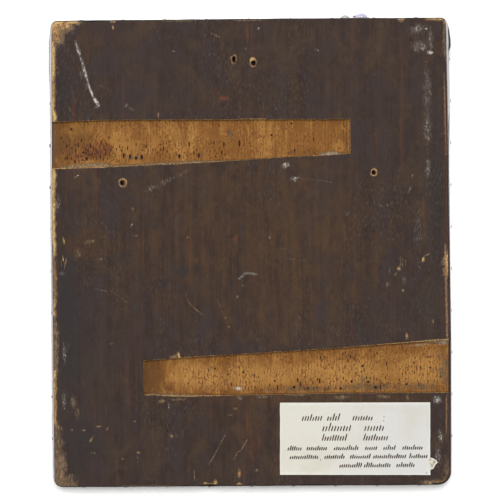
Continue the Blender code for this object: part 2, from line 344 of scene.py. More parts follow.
class Finish:
    """One material, and the nodes that make its look."""

    def __init__(self, name):
        self.material = bpy.data.materials.new(name)
        self.material.use_nodes = True
        self.tree = self.material.node_tree
        self.shader = self.tree.nodes["Principled BSDF"]
        self.place = self.node("ShaderNodeTexCoord").outputs["Object"]

    def node(self, kind, inputs=(), **settings):
        made = self.tree.nodes.new(kind)
        for key, value in settings.items():
            setattr(made, key, value)
        for key, value in dict(inputs).items():
            self.give(made.inputs[key], value)
        return made

    def give(self, socket, value):
        """Links a socket, or sets it if value is plain."""
        if isinstance(value, bpy.types.NodeSocket):
            self.tree.links.new(value, socket)
        elif socket.type == "RGBA":
            socket.default_value = (*tuple(value)[:3], 1.0)
        else:
            socket.default_value = value

    def noise(self, stretch, detail=2.0, roughness=0.5, distortion=0.0, offset=(0.0, 0.0, 0.0)):
        """Noise with stretch features a metre along each axis."""
        if isinstance(stretch, (int, float)):
            stretch = (stretch,) * 3
        mapped = self.node("ShaderNodeMapping", {"Vector": self.place, "Scale": stretch, "Location": offset})
        inputs = {"Vector": mapped.outputs[0], "Scale": 1.0, "Detail": detail}
        inputs |= {"Roughness": roughness, "Distortion": distortion}
        return self.node("ShaderNodeTexNoise", inputs).outputs["Fac"]

    def wave(self, vector, scale, distortion, detail, detail_scale, **settings):
        """Wavy bands along a vector."""
        inputs = {"Vector": vector, "Scale": scale, "Distortion": distortion}
        inputs |= {"Detail": detail, "Detail Scale": detail_scale}
        return self.node("ShaderNodeTexWave", inputs, **settings).outputs["Fac"]

    def math(self, operation, *values):
        return self.node("ShaderNodeMath", enumerate(values), operation=operation).outputs[0]

    def times(self, first, second):
        return self.math("MULTIPLY", first, second)

    def shaken(self, value, by, sway):
        """The value with sway times some noise added to it."""
        return self.math("MULTIPLY_ADD", self.math("SUBTRACT", by, 0.5), sway, value)

    def between(self, value, low, high, to_low=0.0, to_high=1.0):
        """Eases value from to_low at low to to_high at high."""
        inputs = {"Value": value, "From Min": low, "From Max": high, "To Min": to_low, "To Max": to_high}
        made = self.node("ShaderNodeMapRange", inputs, interpolation_type="SMOOTHSTEP", clamp=True)
        return made.outputs[0]

    def mix(self, share, first, second):
        """The first colour where the share is 0, the second where it is 1."""
        inputs = {0: share, 6: first, 7: second}  # the Mix node's colour sockets have no names of their own
        return self.node("ShaderNodeMix", inputs, data_type="RGBA").outputs[2]

    def layered(self, colour, *layers):
        """The colour with each (share, colour) laid over it in turn."""
        for share, above in layers:
            colour = self.mix(share, colour, above)
        return colour

    def attribute(self, name):
        return self.node("ShaderNodeAttribute", attribute_name=name).outputs["Fac"]

    def bump(self, height, depth, strength=1.0, under=None):
        """Relief of depth metres from a height of 0 to 1."""
        inputs = {"Height": height, "Distance": depth, "Strength": strength}
        if under is not None:
            inputs["Normal"] = under
        return self.node("ShaderNodeBump", inputs).outputs[0]

    def finish(self, **sockets):
        for key, value in sockets.items():
            self.give(self.shader.inputs[key.replace("_", " ")], value)
        return self.material


# ---- the board

GROOVE_DEPTH = 6.5
WALL_BAND = 1.5  # the width of plan that is drawn down into a groove's wall
WALL_ROWS = 5
LIP_ROWS = (0.35, 0.9, 1.6)
LIP_FALL = 0.7  # how far a worn lip falls for its width
END_LIP = 0.25  # how far the lip of a closed end is worn
END_REACH = 12  # how far from a closed end its floor is stretched to make up for the wall's band
RAISED_FROM, RAISED_BY = 62.7, 1.5  # the upper groove's floor is left high past this x
RAGGED_FROM, RAGGED_BY = -50.5, 0.7  # and the lower groove's before this x


class Groove:
    """One dovetail groove in plan, with its long edges, feet and worn lips by x."""

    def __init__(self, stations, shut, seed, feet, lips):
        x, low, high = np.array(numbers(stations)).T
        self.shut = shut  # 1 if the closed end is the right one, -1 if the left
        self.end = x[-1] if shut > 0 else x[0]
        self.x = np.append(np.arange(x[0], x[-1], 0.8), x[-1])
        self.low = np.interp(self.x, x, low) + 0.22 * rough(self.x * 0.22, 0.5, seed)
        self.high = np.interp(self.x, x, high) + 0.2 * rough(self.x * 0.22, 7.5, seed)
        self.feet = [self.by_x(table, 0.28, seed + k) for k, table in enumerate(feet)]
        self.lips = [self.by_x(table, 0.45, seed + 4 + k) for k, table in enumerate(lips)]

    def by_x(self, table, sway, seed):
        """A table's values at each x, with some sway where the wood is torn."""
        values = by_table(self.x, numbers(table))
        torn = np.clip(np.abs(values), 0.15, 2.0)
        return values + sway * torn * rough(self.x * 0.45, 3.5, seed)

    def at(self, x):
        """The lower and upper edge, how far their feet stand in, and how far their lips are worn, at x."""
        return [np.interp(x, self.x, values) for values in (self.low, self.high, *self.feet, *self.lips)]

    def depths_in(self, places):
        """How far in each place is from the lower edge, the upper edge and the closed end."""
        x, y = places.T
        low, high, *_ = self.at(x)
        return y - low, high - y, (self.end - x) * self.shut

    def rail(self, inset):
        """The groove's plan taken in by inset, as an open line round its closed end."""
        tip = self.end - inset * self.shut
        x = self.x[(tip - self.x) * self.shut > 0.3]
        x = np.append(x if self.shut > 0 else x[::-1], tip)  # from the open end to the closed one
        low, high, *_ = self.at(x)
        lower = np.column_stack((x, low + inset))
        upper = np.column_stack((x, high - inset))
        side = divided(np.array((lower[-1], upper[-1])), 1.0, False)
        return np.concatenate((lower, side[1:-1], upper[::-1]))


# x, lower edge and upper edge at each station; how far each wall's foot stands in from its lip, by x,
# where below zero it is undercut and well above it is torn; how wide the lips are worn off, by x
GROOVES = (
    Groove(
        "-136 56.9 88, -97 57.9 89.1, -39.3 60.3 89, 67 65.8 88.6", 1, 11,
        ("""
            -136 .3, -131 .3, -127 1.2, -117 3.2, -109 2.8, -104 3.6, -96 2.8, -92 1.5, -82 1.2, -62 1.8,
            -30 1.5, -12 .7, 44 .3, 47 1.6, 53 2.6, 59 1.9, 61 .5, 67 .2
        """,
         "-136 .3, -130 .2, -124 -.7, -110 -1.2, 60 -1.2, 67 -.2"),
        ("-136 .8, -95 .5, -40 .6, 20 .3, 45 .5, 60 .6, 67 .3",
         "-136 .6, -120 .25, -10 .25, -5 .7, 8 .7, 13 .25, 67 .2"),
    ),
    Groove(
        "-71.7 -94.1 -71.7, -47.8 -95.3 -70, 63.2 -94.2 -63.9, 136.5 -94.3 -58.5", -1, 31,
        ("-71.7 .3, -69 1.1, -55 1.3, -38 1.1, -26 .8, -14 .5, 136.5 .4",
         "-71.7 -.2, -66 -.9, 40 -1.1, 74 -.6, 90 .5, 104 1.2, 114 1, 124 2.4, 136.5 3"),
        ("-71.7 .5, -40 .8, -20 .5, 20 .3, 136.5 .35",
         "-71.7 .35, -44 .6, 0 .4, 60 .45, 85 .7, 110 .9, 136.5 1.2"),
    ),
)

# The old nail holes: x, y, half width and half height, then the chipped rim's middle and half sizes
NAIL_HOLES = numbers("""
    -10.2 129 .9 1.9 -10.4 129.3 1.7 2.4, 2.9 126.5 1.3 1.35 2.7 127.2 2 2.9,
    -85.5 47.1 1 1.3 -85 47.1 2.4 2.5, 82.4 52.8 1 1.1 82.9 53 2.1 2.1
""")
HOLE_STEPS = 26
HOLE_RIM_DEPTH = 0.9
HOLE_DEPTH = 12.0
HOLE_PINCH = 0.55  # of the hole's plan, inside which its bottom lies
HOLE_SWAY, CHIP_SWAY = 0.12, 0.3  # how uneven the holes and their chipped rims are

# Worm holes that stand out: x, y, half width, half height. The first two are in the stained back
WORM_HOLES = numbers("""
    -55 -114.9 .75 .6, -56.4 -118.4 .75 .6, -119.5 83.4 .7 1, -126 77.8 .5 1, -94.4 77.6 .5 1,
    -111.6 67.8 .8 .8, -109.4 63.6 1 1.4, -85.7 68.7 .5 1.2, -84.5 65.4 .7 1.9, -80.2 64.9 .8 1.7,
    -76.2 63.8 1.1 1.1, -72.4 64.4 1.1 1.7, -53.6 74.6 .8 .6, -47.2 64.8 .9 1.6, -34.2 65.2 .8 1.7,
    -6.9 73.1 .7 2.2, -18.8 67.1 .5 1.4, 14.5 78.6 1 .7, 30.1 68.2 .6 1, 27.9 86.3 .8 .7,
    -24.4 -77.7 .8 .6, -5.4 -80.1 .8 .8, 15.6 -86 .7 .7, 28.5 -90.3 1.1 .8, 74.4 -76.5 .8 .9,
    67 -86.8 .9 .9, 78.1 -87.2 1 .8, 83 -90.9 1.3 .9, 59.7 -91.5 .9 .8, 37.6 -91.1 .8 .8,
    108.7 -74.5 .8 .7, 119.7 -78 .8 .6, 103.7 -88.9 1.1 .6
""")
OPEN_WORM_HOLES = 2
WORM_TRIES = 12  # for each worm hole that is to be strewn
WORM_GAP = 0.45  # the least gap between two
# Smaller worm holes are strewn in these zones: groove, x from and to, share of the width up from
# the lower edge from and to, how many, and the usual half width
WORM_ZONES = numbers("""
    0 -126 -95 .1 .6 46 .42, 0 -95 -16 .06 .48 84 .38, 0 -95 60 .3 .97 16 .24, 0 -20 60 .08 .6 8 .26,
    1 -45 20 .08 .55 26 .3, 1 -45 130 .3 .95 44 .3, 1 10 104 .05 .32 40 .4, 1 45 128 .12 .9 110 .3
""")


def groove_shape(groove, number, places):
    """Where each place within a groove's plan lies in space, and which parts of it are torn."""
    x, y = places.T
    low, high, low_foot, high_foot, low_lip, high_lip = groove.at(x)
    from_low, from_high, from_end = groove.depths_in(places)
    least = np.minimum(np.minimum(from_low, from_high), from_end)
    fall = np.clip(least / WALL_BAND, 0, 1)
    by_low, by_end = least == from_low, least == from_end
    span = high - low - 2 * WALL_BAND
    across = np.clip((from_low - WALL_BAND) / span, 0, 1)
    reach = np.clip(from_end - WALL_BAND, 0, None)
    stretched = reach * (END_REACH + WALL_BAND) / END_REACH
    reach = np.where(reach < END_REACH, stretched, reach + WALL_BAND)
    floor_x = groove.end - groove.shut * reach
    floor_y = low + low_foot + across * (high - high_foot - low - low_foot)
    lip_x = np.where(by_end, groove.end, x)
    lip_y = np.where(by_end, y, np.where(by_low, low, high))
    lip_drop = LIP_FALL * np.where(by_end, END_LIP, np.where(by_low, low_lip, high_lip))
    chisel = 0.16 * rough(floor_x * 0.75, floor_y * 0.06, 61 + number)
    chisel = chisel + 0.28 * rough(floor_x * 0.07, floor_y * 0.11, 63 + number)
    floor = -GROOVE_DEPTH + chisel + 0.05 * rough(floor_x * 1.6, floor_y * 0.5, 65)
    if number == 0:
        past = floor_x - RAISED_FROM - 0.5 * rough(floor_y * 0.5, 1.5, 67)
        floor = floor + RAISED_BY * ease(past / 0.5)
    else:
        before = RAGGED_FROM + 2.2 * rough(floor_y * 0.35, 2.5, 69) - floor_x
        rise = RAGGED_BY + 0.35 * rough(floor_x * 0.9, floor_y * 0.3, 71)
        floor = floor + rise * ease(before / 2.5)
    foot = np.where(by_end, 0.0, np.where(by_low, low_foot, high_foot))
    torn = np.clip((foot - 0.35) / 1.2, 0, 1) * np.clip(8 * fall * (1 - fall), 0, 1)
    flakes = torn * (0.9 * rough(x * 0.55, y * 1.1, 73) + 0.5 * soft_noise(x * 1.4, y * 2.2, 75))
    made = np.column_stack((
        lip_x + (floor_x - lip_x) * fall,
        lip_y + (floor_y - lip_y) * fall,
        -lip_drop * (1 - fall) + floor * fall + flakes,
    ))
    return made, torn, fall


# Nicks that go through the stain: x, y, half width, half height, turn in degrees, depth
NICKS = numbers("""
    -90.9 151.3 .8 2.2 8 .5, -50.6 134.7 1.3 .6 0 .3, -61 92.2 .55 2.4 0 .5, -79.2 96.5 2.4 1 -35 .1,
    -120 96.4 .5 3.4 10 .2, -22.7 145.4 4.4 .8 -27 .1, 101.5 153.6 1.7 .9 0 .4, 118.6 75.5 1.6 1.4 0 .1,
    108.1 50.5 .9 1.4 0 .2, -76.2 11.8 1.2 .9 0 .1, -78.6 29.8 .8 1.7 40 .2, -107.8 7.9 5 1.8 10 .03,
    -115.6 .4 4 4.4 0 -.08, -124.6 8.6 .7 2.8 8 .6, -129.7 3.6 .6 1.9 -22 .3, -125.2 -2.9 .6 2.4 10 .5,
    -123.3 -5.2 .55 2.9 -14 .5, -16.9 -43.5 .7 1 0 .3, -15 -49.3 .7 1 0 .4, 99.8 -6.6 .5 3.8 0 .3,
    98.8 -11.4 1.4 1.6 20 .5, 115.2 -5.4 1.1 2.1 -15 .7, 118 -2.2 2.4 .8 18 .2, 96.6 -14.9 .8 1.8 -25 .2,
    92.6 -13 .35 4.6 0 .1, 102.1 -19.6 1.6 4.4 0 0, 101.6 -26 1 1.1 0 .5, 121.4 -47.2 .7 1.7 10 .2,
    103.8 -56.6 .9 2.4 0 .6, -92.6 -60.1 2.4 .9 0 .05, -118.8 -98.4 2.2 4.8 0 .06,
    -116.2 -106.8 1.8 4.4 0 .06, -120.3 -117.4 1.5 .9 0 .2, -112.4 -117.7 1.9 .8 4 .2,
    -102.1 -115.2 2.2 .6 3 .5, -96.6 -117 .7 1.8 -30 .3, -107.2 -123.8 2.4 1 54 .4,
    -105.6 -132.9 2 .7 -12 .05, -78.2 -112 .9 .9 0 .3, -76 -132.8 1.4 .8 0 .6, -76.4 -137.4 .4 3.6 0 .1,
    -85.6 -137 1.6 1 0 .1, -53.6 -122.2 1.3 1.4 0 .3, -11 -104 2.2 1 -8 .2, -14.6 -108.3 2.8 .5 0 .1,
    -8.6 -147.4 1.1 2.8 0 .7, -31.4 -153.8 1.4 .9 30 .8, -24.6 -153.4 1.1 2.2 0 .9,
    -38.6 -148.6 .6 4.4 4 .2, 3.2 -145.1 1.7 1.1 10 .1, 60 -96.9 5.2 1.7 3 .2, 103.9 -97.4 1 3 0 .1,
    30 -95.4 7.4 .7 0 .2, -60.2 -98.6 2.4 1.3 0 .3, -48.6 -97.6 4.6 1 0 .15, -51.6 -69 2.6 1.6 20 .4,
    -48.4 -68 .7 2.5 12 1.1, 116 -61.8 1.3 .9 0 .3, 88 -96.6 5 1.2 -4 .2, 8 -96.4 5.6 .9 2 .2,
    101.4 -6.8 .35 4.2 0 .3, 103.4 -6.6 .4 4.4 0 .25, 111.8 -6.4 .35 4 12 .2, 91 -22 1.4 2.6 0 .02,
    -126.2 -6.6 .35 2.6 8 .4, -124.4 -8.6 .35 2 6 .35, -100.6 -3.4 2.6 1.4 0 .02
""")
# Rubbed-on white: x, y, half width, half height, turn in degrees, strength
WHITE_MARKS = numbers("""
    -82.5 98.6 1.1 2 -30 .6, 6.2 149.6 1.1 1.1 0 .6, -2.6 136.2 .9 1.6 0 .6, 45.3 134.9 2 1.1 -30 .6,
    112 148 7 4.4 30 .56, 118.2 148.4 .9 .6 0 1.2, 121.2 141 1.8 9 0 .62, 113 137 7 4.4 20 .56,
    120.6 132.6 2.2 1.6 0 1, 116.9 136 .9 2.6 -30 .8, 118.8 107 3.6 20 0 .5, 118.6 82 3 15 0 .5,
    118.8 56 2 8 0 .58, 119.2 54.2 .9 2 18 .8, 112 16 5 17 0 .38, -116.4 51.2 1.1 .6 20 1.1,
    -114.9 52.3 .7 .6 45 1.1, -79.4 18.6 1.4 2 0 .5, -128 34 1.6 8 0 .56, -41.7 10.4 1.4 .8 0 .6,
    23.8 57.9 2.8 1.9 24 .95, 29.2 48.9 2.5 2 0 .75, 31.6 49.6 1.6 .8 30 .9, 12.8 10 .8 1.6 0 .6,
    -5.2 -22 2.2 .5 -4 .6, -9 -29.6 .5 1.1 0 1.2, 65 25.4 2.6 .9 40 .5, 106.8 41.6 .9 2.6 -25 .6,
    -55.3 -102.2 .6 2.4 0 .7, 125.7 -123.2 1.6 5.2 10 .7, -124.6 -66 1.8 9 0 .56, -125.5 -98 1.6 8 0 .56,
    124 -99 3 3 0 .8, -108 88.9 1.4 1.2 0 .5, -8 -97 2.6 1.4 -15 .7, 128 -61.4 3.4 1.3 12 1,
    112 -62.6 9 1 4 .8, 54 65.8 6.6 .8 9 1, -126 -13 2.8 1.6 0 .6, 124 -136 2.6 9 0 .58,
    -8.8 -91 3.3 1.4 -6 1, 112.6 -10.6 .5 1.4 0 .8,
    -111.2 120.6 1.6 4.6 -16 .55, -108.6 112 1.2 3.6 -16 .5, -66 43.2 6 2.2 22 .5, -56 47.6 6 1.9 28 .52,
    -46 52.6 5.4 1.7 30 .48, -101.8 97.8 1.8 1 0 .7
""")
# Scratches: 0 white or 1 bare wood, half width, strength, and x and y along their line
SCRATCHES = numbers("""
    0 .7 .4 -104 -23.4 -93.3 -25.4 -88 -28.6 -82.2 -32.8,
    1 .5 .5 -43.2 -27 -42.4 -31.5 -38.7 -36.2 -31.8 -41.6,
    0 .8 .36 80.5 33.8 88 30.2 92 30.8 96.4 33.4,
    1 .35 .68 -29.1 -141.2 -25.4 -135.6 -21.8 -128.4 -17.6 -121.4,
    1 .45 .66 -3.2 -124.6 -6.8 -131 -10 -133.6 -12.1 -137.8, 0 .8 .34 21 2.4 26 1.6 26.6 -4.4 37.4 -6,
    0 .8 .36 32 49.4 42 48.6 55.2 46.4, 0 1 .72 -7.6 -17.2 -5.2 -15.4 -3.8 -14 -.8 -13.6 4 -14.6,
    1 .4 .4 -22.5 -31 -18.4 -41 -14.2 -50.8, 1 .5 .62 130 118 130.6 92 131 64,
    1 .55 .86 130.2 4 130.4 -24 130.7 -57, 1 .45 .66 130.4 -95.5 130 -108 129.4 -122
""")
# The chalk stroke: places on its line with the half width there
CHALK_STROKE = numbers("""
    -115.9 142 1.1, -114.2 136.6 1.3, -112.6 131.6 1, -110.8 125.6 1.2, -109 119.2 1.1, -107.4 113.4 1,
    -105.2 107 .9, -103.8 103.4 1, -101.8 100.6 1.5, -101 99 1.2
""")
# Where the arris is worn through: middle of the stretch, half its length, reach in from the edge,
# how far it is rounded down, how bare it is
EDGE_WEAR = numbers("""
    -132 152 7 3.4 1.6 1, -121 155 8 3.2 1.4 .94, -126 149 9 10 1.2 .84, -132 128 16 2.8 .9 1,
    -132.2 104 13 2.7 .9 1, -132.3 92 5 4.2 1.4 1, -132.4 52 5 3.6 1.2 1, -132.4 36 18 3.3 .9 1,
    -132.4 12 14 3 .9 1, -132.4 -18 15 3.2 .9 .72, -132.3 -36 7 2.6 .8 .9, -132.2 -62 18 4.4 .8 .62,
    -132.2 -86 9 2.6 .9 1, -132.1 -104 12 2.4 .9 .95, -132 -128 16 7 1.3 .52, -131 -144 13 11 1.8 .6,
    -125 -155.3 9 4 1.6 .58, 122 155.6 4 2 .9 .9, 129 154.6 4 2.2 1 .8, 101.5 155.6 2.4 1.8 .8 .9,
    131.9 140 12 2.8 .8 .52, 132.8 -8.4 8.4 4.8 1.4 1, 133 -60 2 3 1.4 .9, 130 -148 11 5.4 1.8 .46,
    122 -155.6 8.4 3 1.5 .76, -90.8 155.3 1.8 1.8 .9 .9, -48 155.4 12 .9 .5 .55, 0 155.5 10 1 .5 .6,
    -28 -155.4 4 1.8 1 .8, -8.6 -155.4 1.8 3.4 1.1 .9, -70 -155.4 20 1 .6 .5
""")
# Stains in the raw wood of the grooves, and the dark strips at their open ends: x, y, half width, half
# height, strength
RED_STAINS = numbers("""
    -106 68 12 6.6 .9, -95.6 69.6 4 6 1, -113 65 7 5 .8, -60 66 16 3.4 .35, -20 66.5 14 3.2 .4,
    -38 68 8 5 .4, -7.6 -74 1.5 8 .5, -18 -80 7 5 .35, 46 -84 8 6 .25
""")
# The grey row at x -131 and the brown rows at x -132.6 and 132.6 make dark strips where the grooves run out
# at the board's sides
GREY_STAINS = numbers("""
    -13.4 80.2 2.4 3.4 .75, -12 76.2 1.2 2.6 .7, -131 72 4.6 18 .55, -123 74 12 18 .3,
    -16.8 -86 2.4 1.9 .5, -28 -89.6 14 2 .35, 30 -91.4 34 2.4 .7, 76 -90.6 28 3 .72, 112 -90.6 22 3.4 .62,
    130 -77 8 18 .55, -76.6 64.4 6 2.4 .6, 54 64.4 8 1.6 .5, 77 -85.6 7 4 .45
""")
GROOVE_GOLD = numbers("""
    -34 -83 20 9 .9, 6 -83 30 9 .9, 62 -81 40 9 .95, 112 -79 26 11 .9, -94 78 14 5 .5, -30 76 34 5 .4
""")
GROOVE_BROWN = numbers("""
    -66 -83 9 14 1, -132.6 71.5 2.6 20 1, 132.6 -80 3.4 15 .7, -58 -90 8 4 .7, -126 73 9 16 .9,
    -114 76 12 11 .75, -104 66 16 5 .6, 62 76 8 12 .4, 34 67 26 3 .5, -60 65 30 3 .4, 46 78 14 9 .35,
    64.6 77 .6 11 1
""")
# Broad changes in the stain: x, y, half width, half height, turn, strength
WARM_AREAS = numbers("""
    5 6 82 66 0 .85, 20 -36 62 30 0 .5, -26 44 50 18 6 .4, -10 -112 36 22 0 .55, -106 6 22 9 0 1,
    40 -98 88 4.8 0 1, 30 100 70 22 0 .35, -112 134 22 18 0 .4, 84 96 30 50 0 .25, -44 -98.4 22 3 0 .7
""")
DULL_AREAS = numbers("""
    -122 -50 9 50 0 .9, -112 -56 20 44 4 .35, -114 -128 16 24 0 .6, -46.2 -12.4 4.6 3.8 0 .9,
    -58 -20.4 7 2.4 38 .7, -122 108 9 24 0 .6, 96 -40 30 20 0 .35, -124 -70 6 20 0 .8, -86 -2 8 5 0 .4,
    -77.5 105 9 7 0 .6, 124 40 6 70 0 .5
""")
RED_STREAKS = numbers("""
    -1 146 .8 10 .9, -5.6 147 1.4 7 .5, -17.4 103.2 4 1.9 .95, -22 108 4 6 .5, 115.6 29 1.1 12 .7,
    116.6 20 1.6 5 .6, -9.8 9.6 1.6 4 .9, -35.8 -5.6 3.2 3 .55, -3.2 -112 1 9 .85,
    0 -132 3 18 .6, 4.6 -128 1.4 14 .6, 17 -124 .7 9 .7, 15.6 -138.4 1.9 2 .8, 22 -145 18 6 .45,
    -75 -126 1.6 20 .35, 130 -108 1 14 .9, -50 118 .8 30 .4, 24 120 .8 26 .35, 62 118 .8 24 .4,
    -130.6 -16 1.6 18 .8, 130.4 88 1.2 28 .9, 130.3 -26 1.2 30 .8, -46 -40 1.6 22 .3
""")
BACK_MARKS = (("warm", WARM_AREAS), ("dull", DULL_AREAS), ("red", RED_STREAKS), ("grey", GREY_STAINS))
GROOVE_MARKS = (
    ("warm", GROOVE_GOLD), ("dull", GROOVE_BROWN), ("red", RED_STAINS), ("grey", GREY_STAINS),
    ("white", [mark for mark in WHITE_MARKS if abs(mark[1]) < 95]),
)
# Shallow bites out of the board's edge: x, y, half width along it, depth
EDGE_BITES = numbers("""
    -104 155.3 3 .5, -98.5 155.3 2 .3, -28 -155.4 4 .9, -8.6 -155.4 2.2 .5, -132.3 3.4 2.4 .5,
    133 -62 3 .7, 40 -155.5 9 .35, 132.9 -20 2 .5, 131.4 143 12 .7, 131.4 152 6 .4, 132.7 -125 26 .5
""")


def close_to(places, middle, reach):
    """True for each place in a square round a middle."""
    return np.abs(places - middle).max(axis=1) < reach


def spot(places, x, y, wide, high, turn=0.0, sway=0.0, seed=0):
    """How far each place is from the middle of an oval: 0 there, 1 at its swaying edge."""
    dx, dy = turned(places[:, 0] - x, places[:, 1] - y, math.radians(turn))
    dx, dy = dx / wide, dy / high
    return np.hypot(dx, dy) / swayed(np.arctan2(dy, dx), sway, seed)


def spots(places, table, reach=1.8):
    """The strongest spot of a table at each place, fading out at reach times its size."""
    total = np.zeros(len(places))
    for x, y, wide, high, *rest in table:
        turn, strength = (rest[0], rest[1]) if len(rest) > 1 else (0.0, rest[0])
        near = close_to(places, (x, y), reach * 1.45 * max(wide, high))
        fade = 1 - (spot(places[near], x, y, wide, high, turn) - 0.2) / (reach - 0.2)
        at_least(total, near, strength * ease(fade))
    return total


def at_least(values, near, least):
    """Raises the near values to these, where they are lower."""
    values[near] = np.maximum(values[near], least)


def strewn_worm_holes():
    """Smaller worm holes in the groove floors, none touching another."""
    pick = random.Random(5)
    holes = [tuple(hole) for hole in WORM_HOLES]
    for number, x0, x1, low_share, high_share, count, size in WORM_ZONES:
        groove = GROOVES[int(number)]
        made = 0
        for _try in range(int(count) * WORM_TRIES):
            x = pick.uniform(x0, x1)
            share = low_share + (high_share - low_share) * pick.random()
            low, high, *_ = groove.at(x)
            y = low + share * (high - low)
            wide = size * pick.uniform(0.65, 1.35)
            tall = wide * pick.choice((1.0, 1.4, 2.2, 3.0, 3.8))
            inset = min(y - low, high - y) - tall
            if inset < WALL_BAND + 0.4:
                continue
            wide_gap, tall_gap = wide + WORM_GAP, tall + WORM_GAP
            if all(abs(x - h[0]) > wide_gap + h[2] or abs(y - h[1]) > tall_gap + h[3] for h in holes):
                holes.append((x, y, wide, tall))
                made += 1
                if made == count:
                    break
    return holes


CELL = 1.8  # the widest spacing of points on the back; marks divide it by two or three
EDGE_RINGS = (0.12, 0.35, 0.7, 1.2, 1.9, 2.8)
PLAIN_ROUND = 0.45  # how far a sound arris is rounded
RECESS_GAP = 0.3  # between the cloth and the recess it lies in
RECESS_DEPTH = 2.5
RECESS_SPACING = 12.0
PIT_STEPS = 7
PIT_FLOOR = 0.64  # of a worm hole's plan, inside which its bottom lies
PIT_MARGIN = 0.15  # between a worm hole and a groove's wall
PIT_LEAST = 0.2  # a worm hole narrower than this is left out
PIT_END = 128.5  # no worm holes are nearer than this to the board's sides
WEAR_REACH = 9  # how far in from the edge the arris can be worn
BITE_REACH = 3.0
SCRATCH_DEPTH = 0.1
# Painted shade: the right arris is painted dark from this x and below this y
PAINTED_SHADE_FROM_X, PAINTED_SHADE_BELOW_Y = 120, 103  # the dark line along the right arris
SIDE_ROWS = np.array((0.06, 0.16, 0.32, 0.55, 0.8, 1.0))  # shares of the way down the sides
FOOT = 0.5  # how high above the front the sides end, and
FOOT_IN = 0.4  # how far in from them the front's edge lies
ABOUT_HALF = 150  # the board's usual reach from its middle
SMALL_MARK = 6  # marks smaller than this get the closest points
MARK_STEP = 2.0  # between the places along a scratch that get closer points
MARK_MARGIN = 1.2  # how far the closer points go on past a mark
CHALK_HALF = 1.6
CHIP_HALF = 4.5
UNEVEN_POINTS = 0.55  # how far loose points are shaken out of their rows
FLOOR_SPACING = (0.62, 1.0)  # of the loose points on the grooves' floors
LEAST_SPACING = 0.5
NAIL_HOLE_REACH = 9
LIP_REACH = 3


def board_plan(inset=0.0):
    """The board's plan, taken in all round by inset, with an arc at each corner that has a radius."""
    places = [Vector(corner[:2]) for corner in BOARD_PLAN]
    points = []
    for index, (*_, radius) in enumerate(BOARD_PLAN):
        before = (places[index - 1] - places[index]).normalized()
        after = (places[(index + 1) % len(places)] - places[index]).normalized()
        half = before.angle(after) / 2
        radius = max(radius - inset, 0.25) if radius else 0.0
        centre = places[index] + (before + after).normalized() * (inset + radius) / math.sin(half)
        for step in range(CORNER_STEPS + 1 if radius else 1):
            turn = Matrix.Rotation((math.pi - 2 * half) * step / CORNER_STEPS, 2)
            points.append(centre + turn @ before.orthogonal() * radius)
    return np.array([tuple(point) for point in points])


def ring(x, y, wide, high, steps, size=1.0, sway=0.0, seed=0):
    """Points round an oval, at its swaying edge or a share of the way out to it."""
    turn = np.arange(steps) * math.tau / steps
    reach = size * swayed(turn, sway, seed)[:, None]
    return (x, y) + reach * np.column_stack((wide * np.cos(turn), high * np.sin(turn)))


def swayed(turn, sway, seed):
    """How far out an uneven oval's edge lies in each direction, about 1."""
    return 1 + sway * rough(1.6 * np.cos(turn) + 3.7 * seed, 1.6 * np.sin(turn), seed, 2)


def plan_place(groove, x, y):
    """The place in a groove's plan that groove_shape puts at x, y on its floor."""
    reach = (groove.end - x) * groove.shut
    if reach < END_REACH + WALL_BAND:
        reach = reach * END_REACH / (END_REACH + WALL_BAND)
    else:
        reach = reach - WALL_BAND
    x = groove.end - groove.shut * (max(reach, 0.5) + WALL_BAND)
    low, high, low_foot, high_foot, *_ = groove.at(x)
    across = (y - low - low_foot) / (high - high_foot - low - low_foot)
    return float(x), float(low + WALL_BAND + np.clip(across, 0, 1) * (high - low - 2 * WALL_BAND))


def pits():
    """Every worm hole's place in plan, half width, half height and depth."""
    made = []
    for index, (x, y, wide, high) in enumerate(strewn_worm_holes()):
        if index >= OPEN_WORM_HOLES:
            groove = GROOVES[0] if y > 0 else GROOVES[1]
            x, y = plan_place(groove, x, y)
            place = np.array([(x, y)])
            from_low, from_high, from_end = (float(gap[0]) - WALL_BAND for gap in groove.depths_in(place))
            wide = min(wide, from_end - PIT_MARGIN)
            high = min(high, from_low - PIT_MARGIN, from_high - PIT_MARGIN)
            if min(wide, high) < PIT_LEAST or abs(x) > PIT_END:
                continue
        made.append((x, y, wide, high, 0.2 + 1.5 * min(1.0, wide)))
    return made


